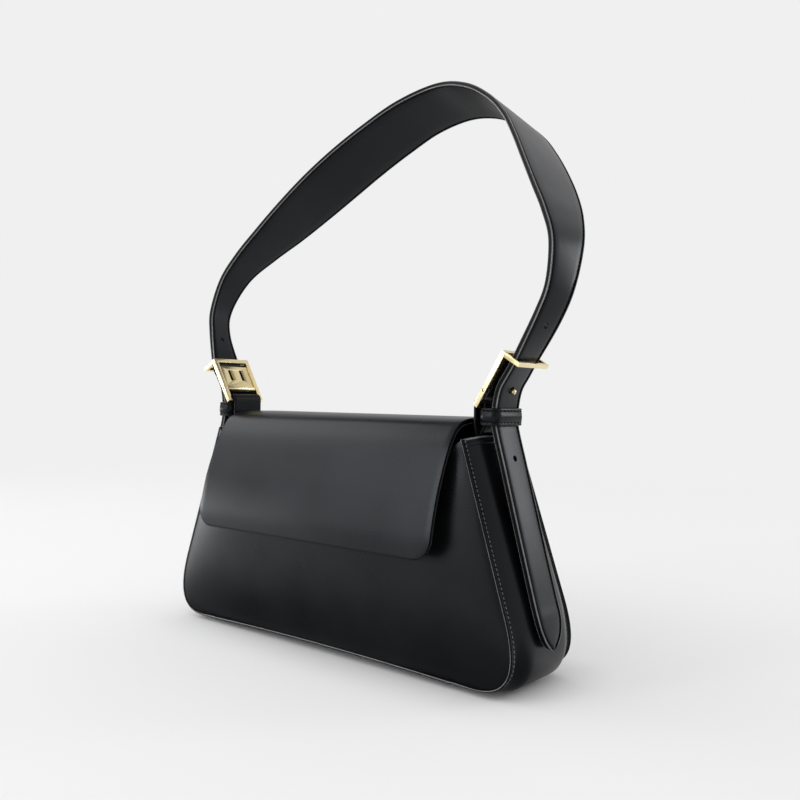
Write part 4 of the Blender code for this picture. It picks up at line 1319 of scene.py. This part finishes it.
def strap_stations():
    """Half the strap, from its tip to the crown: x, y, z, half width and tilt."""
    y = HARDWARE_SETBACK
    half = STRAP_END_WIDTH / 2
    low = CORNER_HEIGHT + EDGE_LIFT
    at_keeper = HEEL.x + STRAP_STANDOFF

    def beside(height):
        return outer_side(height, y) + STRAP_HALF / cos(SIDE_LEAN) + TAIL_CLEARANCE

    def spring(height):
        return TAIL_SPRING * max(0, (KNEE - height) / (KNEE - TAIL_TIP)) ** SPRING_POWER
    tail = [(TAIL_TIP + TAIL_POINT * share, half * width) for share, width in POINT_SHARES]
    stations = [(beside(height) + spring(height), y, height, width, 0)
                for height, width in tail + [(low, half)]]
    for share in (0.25, 0.5, 0.75):
        height = low + (KNEE - low) * share
        stations.append((beside(low) + (at_keeper - beside(low)) * share + spring(height), y,
                         height, half, 0))
    stations += [(at_keeper, y, height, half, 0) for height in (KNEE - GAP, HEEL.y - KEEPER_DROP)]
    for along in (STUD_HEIGHT, (STUD_HEIGHT + FRAME_LENGTH) / 2, FRAME_LENGTH):
        bar = frame_point(along, STRAP_IN_LOOP)
        stations.append((bar.x, y, bar.y, half, 0))
    for x, rise, lean, width, tilt in STRAP_SHARES:
        stations.append(((bar.x + STRAP_SPREAD) * x, y + STRAP_LEAN * lean,
                         bar.y + STRAP_RISE * rise, STRAP_WIDTH / 2 * width, radians(tilt)))
    return stations


def strap_frames():
    """Centre, across, outward, half width and its slope, closely spaced along the strap."""
    half = strap_stations()
    mirrored = [(-x, y, z, w, tilt) for x, y, z, w, tilt in reversed(half[:-1])]
    fine = smooth_path(half + mirrored, 24)
    runs = runs_along(fine, lambda a, b: dist(a[:3], b[:3]))
    marks = []
    run = 0.0
    while run < runs[-1] / 2:
        marks.append(run)
        run += STRAP_STEPS[(run >= TAIL_POINT * 0.3) + (run >= TAIL_POINT)]
    marks += [runs[-1] - mark for mark in reversed(marks)]
    stations = []
    for mark in marks:
        i, share = find(runs, mark)
        stations.append([a + (b - a) * share for a, b in zip(fine[i], fine[i + 1])])
    out = []
    for i, (x, y, z, width, tilt) in enumerate(stations):
        before, after = around(stations, i)
        step = Vector([b - a for a, b in zip(before[:3], after[:3])])
        along = Vector((step.x, 0, step.z)).normalized()
        plain = Vector((along.z, 0, -along.x))
        across = Vector((0, 1, 0)) * cos(tilt) + plain * sin(tilt)
        outward = across.cross(step.normalized()).normalized()
        outward *= copysign(1, outward.dot(plain))
        slope = abs(after[3] - before[3]) / max(step.length, 1e-9)
        out.append((Vector((x, y, z)), across, outward, width, slope))
    return out


# Half of a ply's section: in from the edge, and up from between the plies
PLY_EDGE = (
    (0.00040, 0.00002), (0.00008, 0.00016), (0.00000, 0.00060), (0.00004, 0.00110),
    (0.00022, 0.00150), (0.00052, 0.00166), (0.00082, 0.00150), (0.00104, 0.00104),
    (0.00122, 0.00072), (0.00160, 0.00062), (0.00200, 0.00070), (0.00226, 0.00104),
    (0.00262, 0.00140), (0.00350, 0.00158),
)
# Each face's finish: 0 the ply's leather, 1 edge paint, 2 rim with a painted highlight, 3 groove
# with painted shade
PLY_LOOKS = (3, 1, 1, 2, 2, 2, 3, 3, 3, 3, 3, 0, 0)
MIDDLE_SHARES = (0.72, 0.36, 0.0, -0.36, -0.72)
GROOVE_HEIGHT = 0.00064
# Name, which way it faces, its padding, its node and its finish
PLIES = (("strap_outer_leather", 1, 0.00022, "strap_leather", "strap"),
         ("strap_inner_leather", -1, 0.0, "strap_lining", "strap_lining"))


def ply_ring(centre, across, outward, half, slope, facing, pad):
    stretch = sqrt(1 + slope * slope)
    squeeze = min(1.0, half / (PLY_EDGE[-1][0] * stretch + 0.0006))
    edge = [(half - inward * stretch * squeeze, up) for inward, up in PLY_EDGE]
    room, top = edge[-1]
    pad *= min(1.0, room / 0.006)
    middle = [(room * share, top + pad * (1 - share * share)) for share in MIDDLE_SHARES]
    section = edge + middle + [(-a, up) for a, up in reversed(edge)]
    return [centre + across * a + outward * (up * facing) for a, up in section]


def make_strap():
    frames = strap_frames()
    bands = [*PLY_LOOKS, *[0] * (len(MIDDLE_SHARES) + 1), *PLY_LOOKS[::-1], 1]
    places = [place for side in (1, -1) for place in hole_places(frames, side)]
    for name, facing, pad, node, look in PLIES:
        ply = tube(name, [ply_ring(*frame, facing, pad) for frame in frames], bands)
        for centre, outward in places:
            lay_down()
            bpy.ops.mesh.primitive_cylinder_add(vertices=24, radius=HOLE_DIAMETER / 2,
                                                depth=PUNCH_LENGTH)
            punch = name_new("punch")
            turn = Vector((0, 0, 1)).rotation_difference(outward)
            punch.data.transform(Matrix.Translation(centre) @ turn.to_matrix().to_4x4())
            carve(ply, punch)
        dress(ply, look, "edge", "rim", "groove")
        hand_in(ply, "strap", "strap_leather", node)
        seams = [[], []]
        for centre, across, outward, half, slope in frames:
            inward = STITCH_INSET * sqrt(1 + slope * slope)
            up = outward * facing
            if half > inward + 0.0003:
                for seam, edge in zip(seams, (-1, 1)):
                    seam.append((centre + across * edge * (half - inward)
                                 + up * (GROOVE_HEIGHT + THREAD * 0.25), up))
        sew(name.replace("leather", "stitches"), seams, "strap", "strap_leather")


def hole_places(frames, side):
    """Where the holes go: at the stud, and one pitch before and after it."""
    target = frame_point(STUD_HEIGHT, STRAP_IN_LOOP)
    middle = len(frames) // 2
    ordered = frames[middle:] if side < 0 else frames[:middle][::-1]
    nearest = min(range(len(ordered)), key=lambda i: (abs(ordered[i][0].x) - target.x) ** 2
                  + (ordered[i][0].z - target.y) ** 2)
    runs = runs_along([frame[0] for frame in ordered])
    out = []
    for step in (-HOLE_PITCH, 0, HOLE_PITCH):
        i, share = find(runs, runs[nearest] + step)
        out.append([ordered[i][part].lerp(ordered[i + 1][part], share) for part in (0, 2)])
    return out


def dress_solids():
    """The stiff pieces that stay as packed get their finishes."""
    for node, look in (("base_board", "board"), ("flap_board", "board"),
                       ("front_magnet", "steel"), ("flap_magnet", "steel")):
        for slot in frame["nodes"][node].material_slots:
            slot.material = FINISHES[look]


# Studio

SURROUND = (0.871, 0.871, 0.871, 1)
DIM_ROOM = (0.38, 0.38, 0.39, 1)
MIRRORED_SURROUND = (0.70, 0.70, 0.71, 1)
DIM_FLOOR = (0.14, 0.14, 0.145, 1)
FAR_SIDE = (-0.63, 0.76, -0.12)
OPEN_SIDE = (-0.45, -0.89, 0.10)
FLOOR_GLOW = 0.38
FOOTPRINT = (0.128, 0.034, 0)    # the floor has no glow of its own under the bag
SKY_LEVEL = 0.75
LAMP_TARGET = Vector((0, 0, 0.10))
LAMPS = (
    ("side_left", (-2.22, -0.82, 0.16), (1.3, 0.50), 15.0),
    ("front_left", (-1.4, -1.0, 1.2), (1.3, 1.2), 3.6),
    ("left_high", (-1.45, -0.25, 1.40), (1.3, 1.0), 5.8),
    ("front", (-0.7, -1.95, 1.0), (2.4, 1.8), 12.0),
    ("front_strip", (-0.85, -1.80, 0.95), (0.45, 1.3), 7.0),
    ("back_right", (1.3, 1.7, 0.80), (0.5, 0.9), 7.5),
)
CAMERA_AT = (0.3725, -0.4064, 0.1570)
CAMERA_TURN = (39.71, 0.02, 0.93)    # degrees to the left, downwards and rolled
SENSOR = 36
FOCAL_SHARE = 852 / 800          # of the sensor's width


def make_floor():
    """A pale floor that keeps the bag's shadow, and is dimmer where the leather mirrors it."""
    lay_down()
    bpy.ops.mesh.primitive_plane_add(size=24)
    floor = name_new("floor")
    paper = Finish("pale_paper", Specular_IOR_Level=0.0)
    where = paper.place()
    x, y, _ = paper.parts(where)
    tooth = paper.noise(where, 400.0, 3.0)
    paper.set("Base Color", paper.mix(tooth, (0.86, 0.86, 0.86, 1), (0.88, 0.88, 0.88, 1)))
    paper.vary("Roughness", 0.95, (tooth, 0.1))
    away = paper.vector("LENGTH", where)
    beyond = paper.vector("SUBTRACT", paper.vector("ABSOLUTE", where), FOOTPRINT)
    beyond = paper.vector("LENGTH", paper.vector("MAXIMUM", beyond, (0, 0, 0)))
    lit = (paper.ramp(away / 2.4, (0.12, FLOOR_GLOW), (0.6, 1.0))
           * paper.ramp(beyond * 10, (0.0, 0.0), (0.35, 1.0)) * paper.seen_directly())
    both = paper.either(lit, paper.own(), paper.light("Emission", SURROUND))
    before = (paper.ramp(0.1 - y, (0.07, 0.0), (0.11, 1.0), (0.19, 0.9), (0.40, 0.3))
              * paper.ramp(x + 0.5, (0.10, 0.0), (0.40, 1.0)))
    behind = paper.ramp(paper.vector("DOT_PRODUCT", where, FAR_SIDE) * 0.2,
                        (0.08, 0.0), (0.25, 0.75))
    dimmed = paper.math("MAXIMUM", before, behind) * paper.path("Is Glossy Ray")
    paper.show("Material Output", paper.either(dimmed, both, paper.light("Emission", DIM_FLOOR)))
    floor.data.materials.append(paper.material)


def make_surround():
    """Soft white light; pale where it is seen, and dimmer in gloss towards the open room."""
    world = bpy.data.worlds.new("studio")
    bpy.context.scene.world = world
    sky = Finish("studio", world, Color=(1, 1, 1, 1), Strength=SKY_LEVEL)
    way = sky.place("Generated")
    opening = sky.vector("DOT_PRODUCT", way, OPEN_SIDE) * 0.5 + sky.parts(way)[2] * 0.3 + 0.5
    room = sky.ramp(opening, (0.42, MIRRORED_SURROUND), (0.80, DIM_ROOM))
    far = sky.ramp(sky.vector("DOT_PRODUCT", way, FAR_SIDE), (0.80, 0.0), (0.96, 0.4))
    mirrored = sky.light("Background", sky.mix(far, room, DIM_ROOM))
    seen = sky.either(sky.path("Is Glossy Ray"), sky.light("Background", SURROUND), mirrored)
    sky.show("World Output", sky.either(sky.seen_directly(), sky.own(), seen))


def hang_lamps():
    for name, at, size, power in LAMPS:
        data = bpy.data.lights.new(name, "AREA")
        data.shape = "RECTANGLE"
        data.size, data.size_y = size
        data.energy = power
        lamp = put_in(name, data)
        lamp.location = at
        lamp.rotation_euler = (LAMP_TARGET - Vector(at)).to_track_quat("-Z", "Y").to_euler()


def make_camera():
    data = bpy.data.cameras.new("camera")
    data.sensor_width = SENSOR
    data.lens = FOCAL_SHARE * SENSOR
    data.clip_start = 0.01
    camera = put_in("camera", data)
    yaw, pitch, roll = (radians(a) for a in CAMERA_TURN)
    forward = Vector((-sin(yaw) * cos(pitch), cos(yaw) * cos(pitch), -sin(pitch)))
    level = Vector((cos(yaw), sin(yaw), 0))
    upright = level.cross(forward)
    right = level * cos(roll) + upright * sin(roll)
    up = upright * cos(roll) - level * sin(roll)
    turn = Matrix((right, up, -forward)).transposed().to_4x4()
    camera.matrix_world = Matrix.Translation(CAMERA_AT) @ turn
    bpy.context.scene.camera = camera


make_panels()
make_gussets()
make_base()
make_linings()
make_bindings()
make_flap()
make_tabs()
make_keepers()
make_strap()
make_buckles()
make_facings()
dress_solids()
throw_away(STITCH_MODEL)
make_floor()
make_surround()
hang_lamps()
make_camera()
bpy.context.scene.view_settings.view_transform = "Standard"
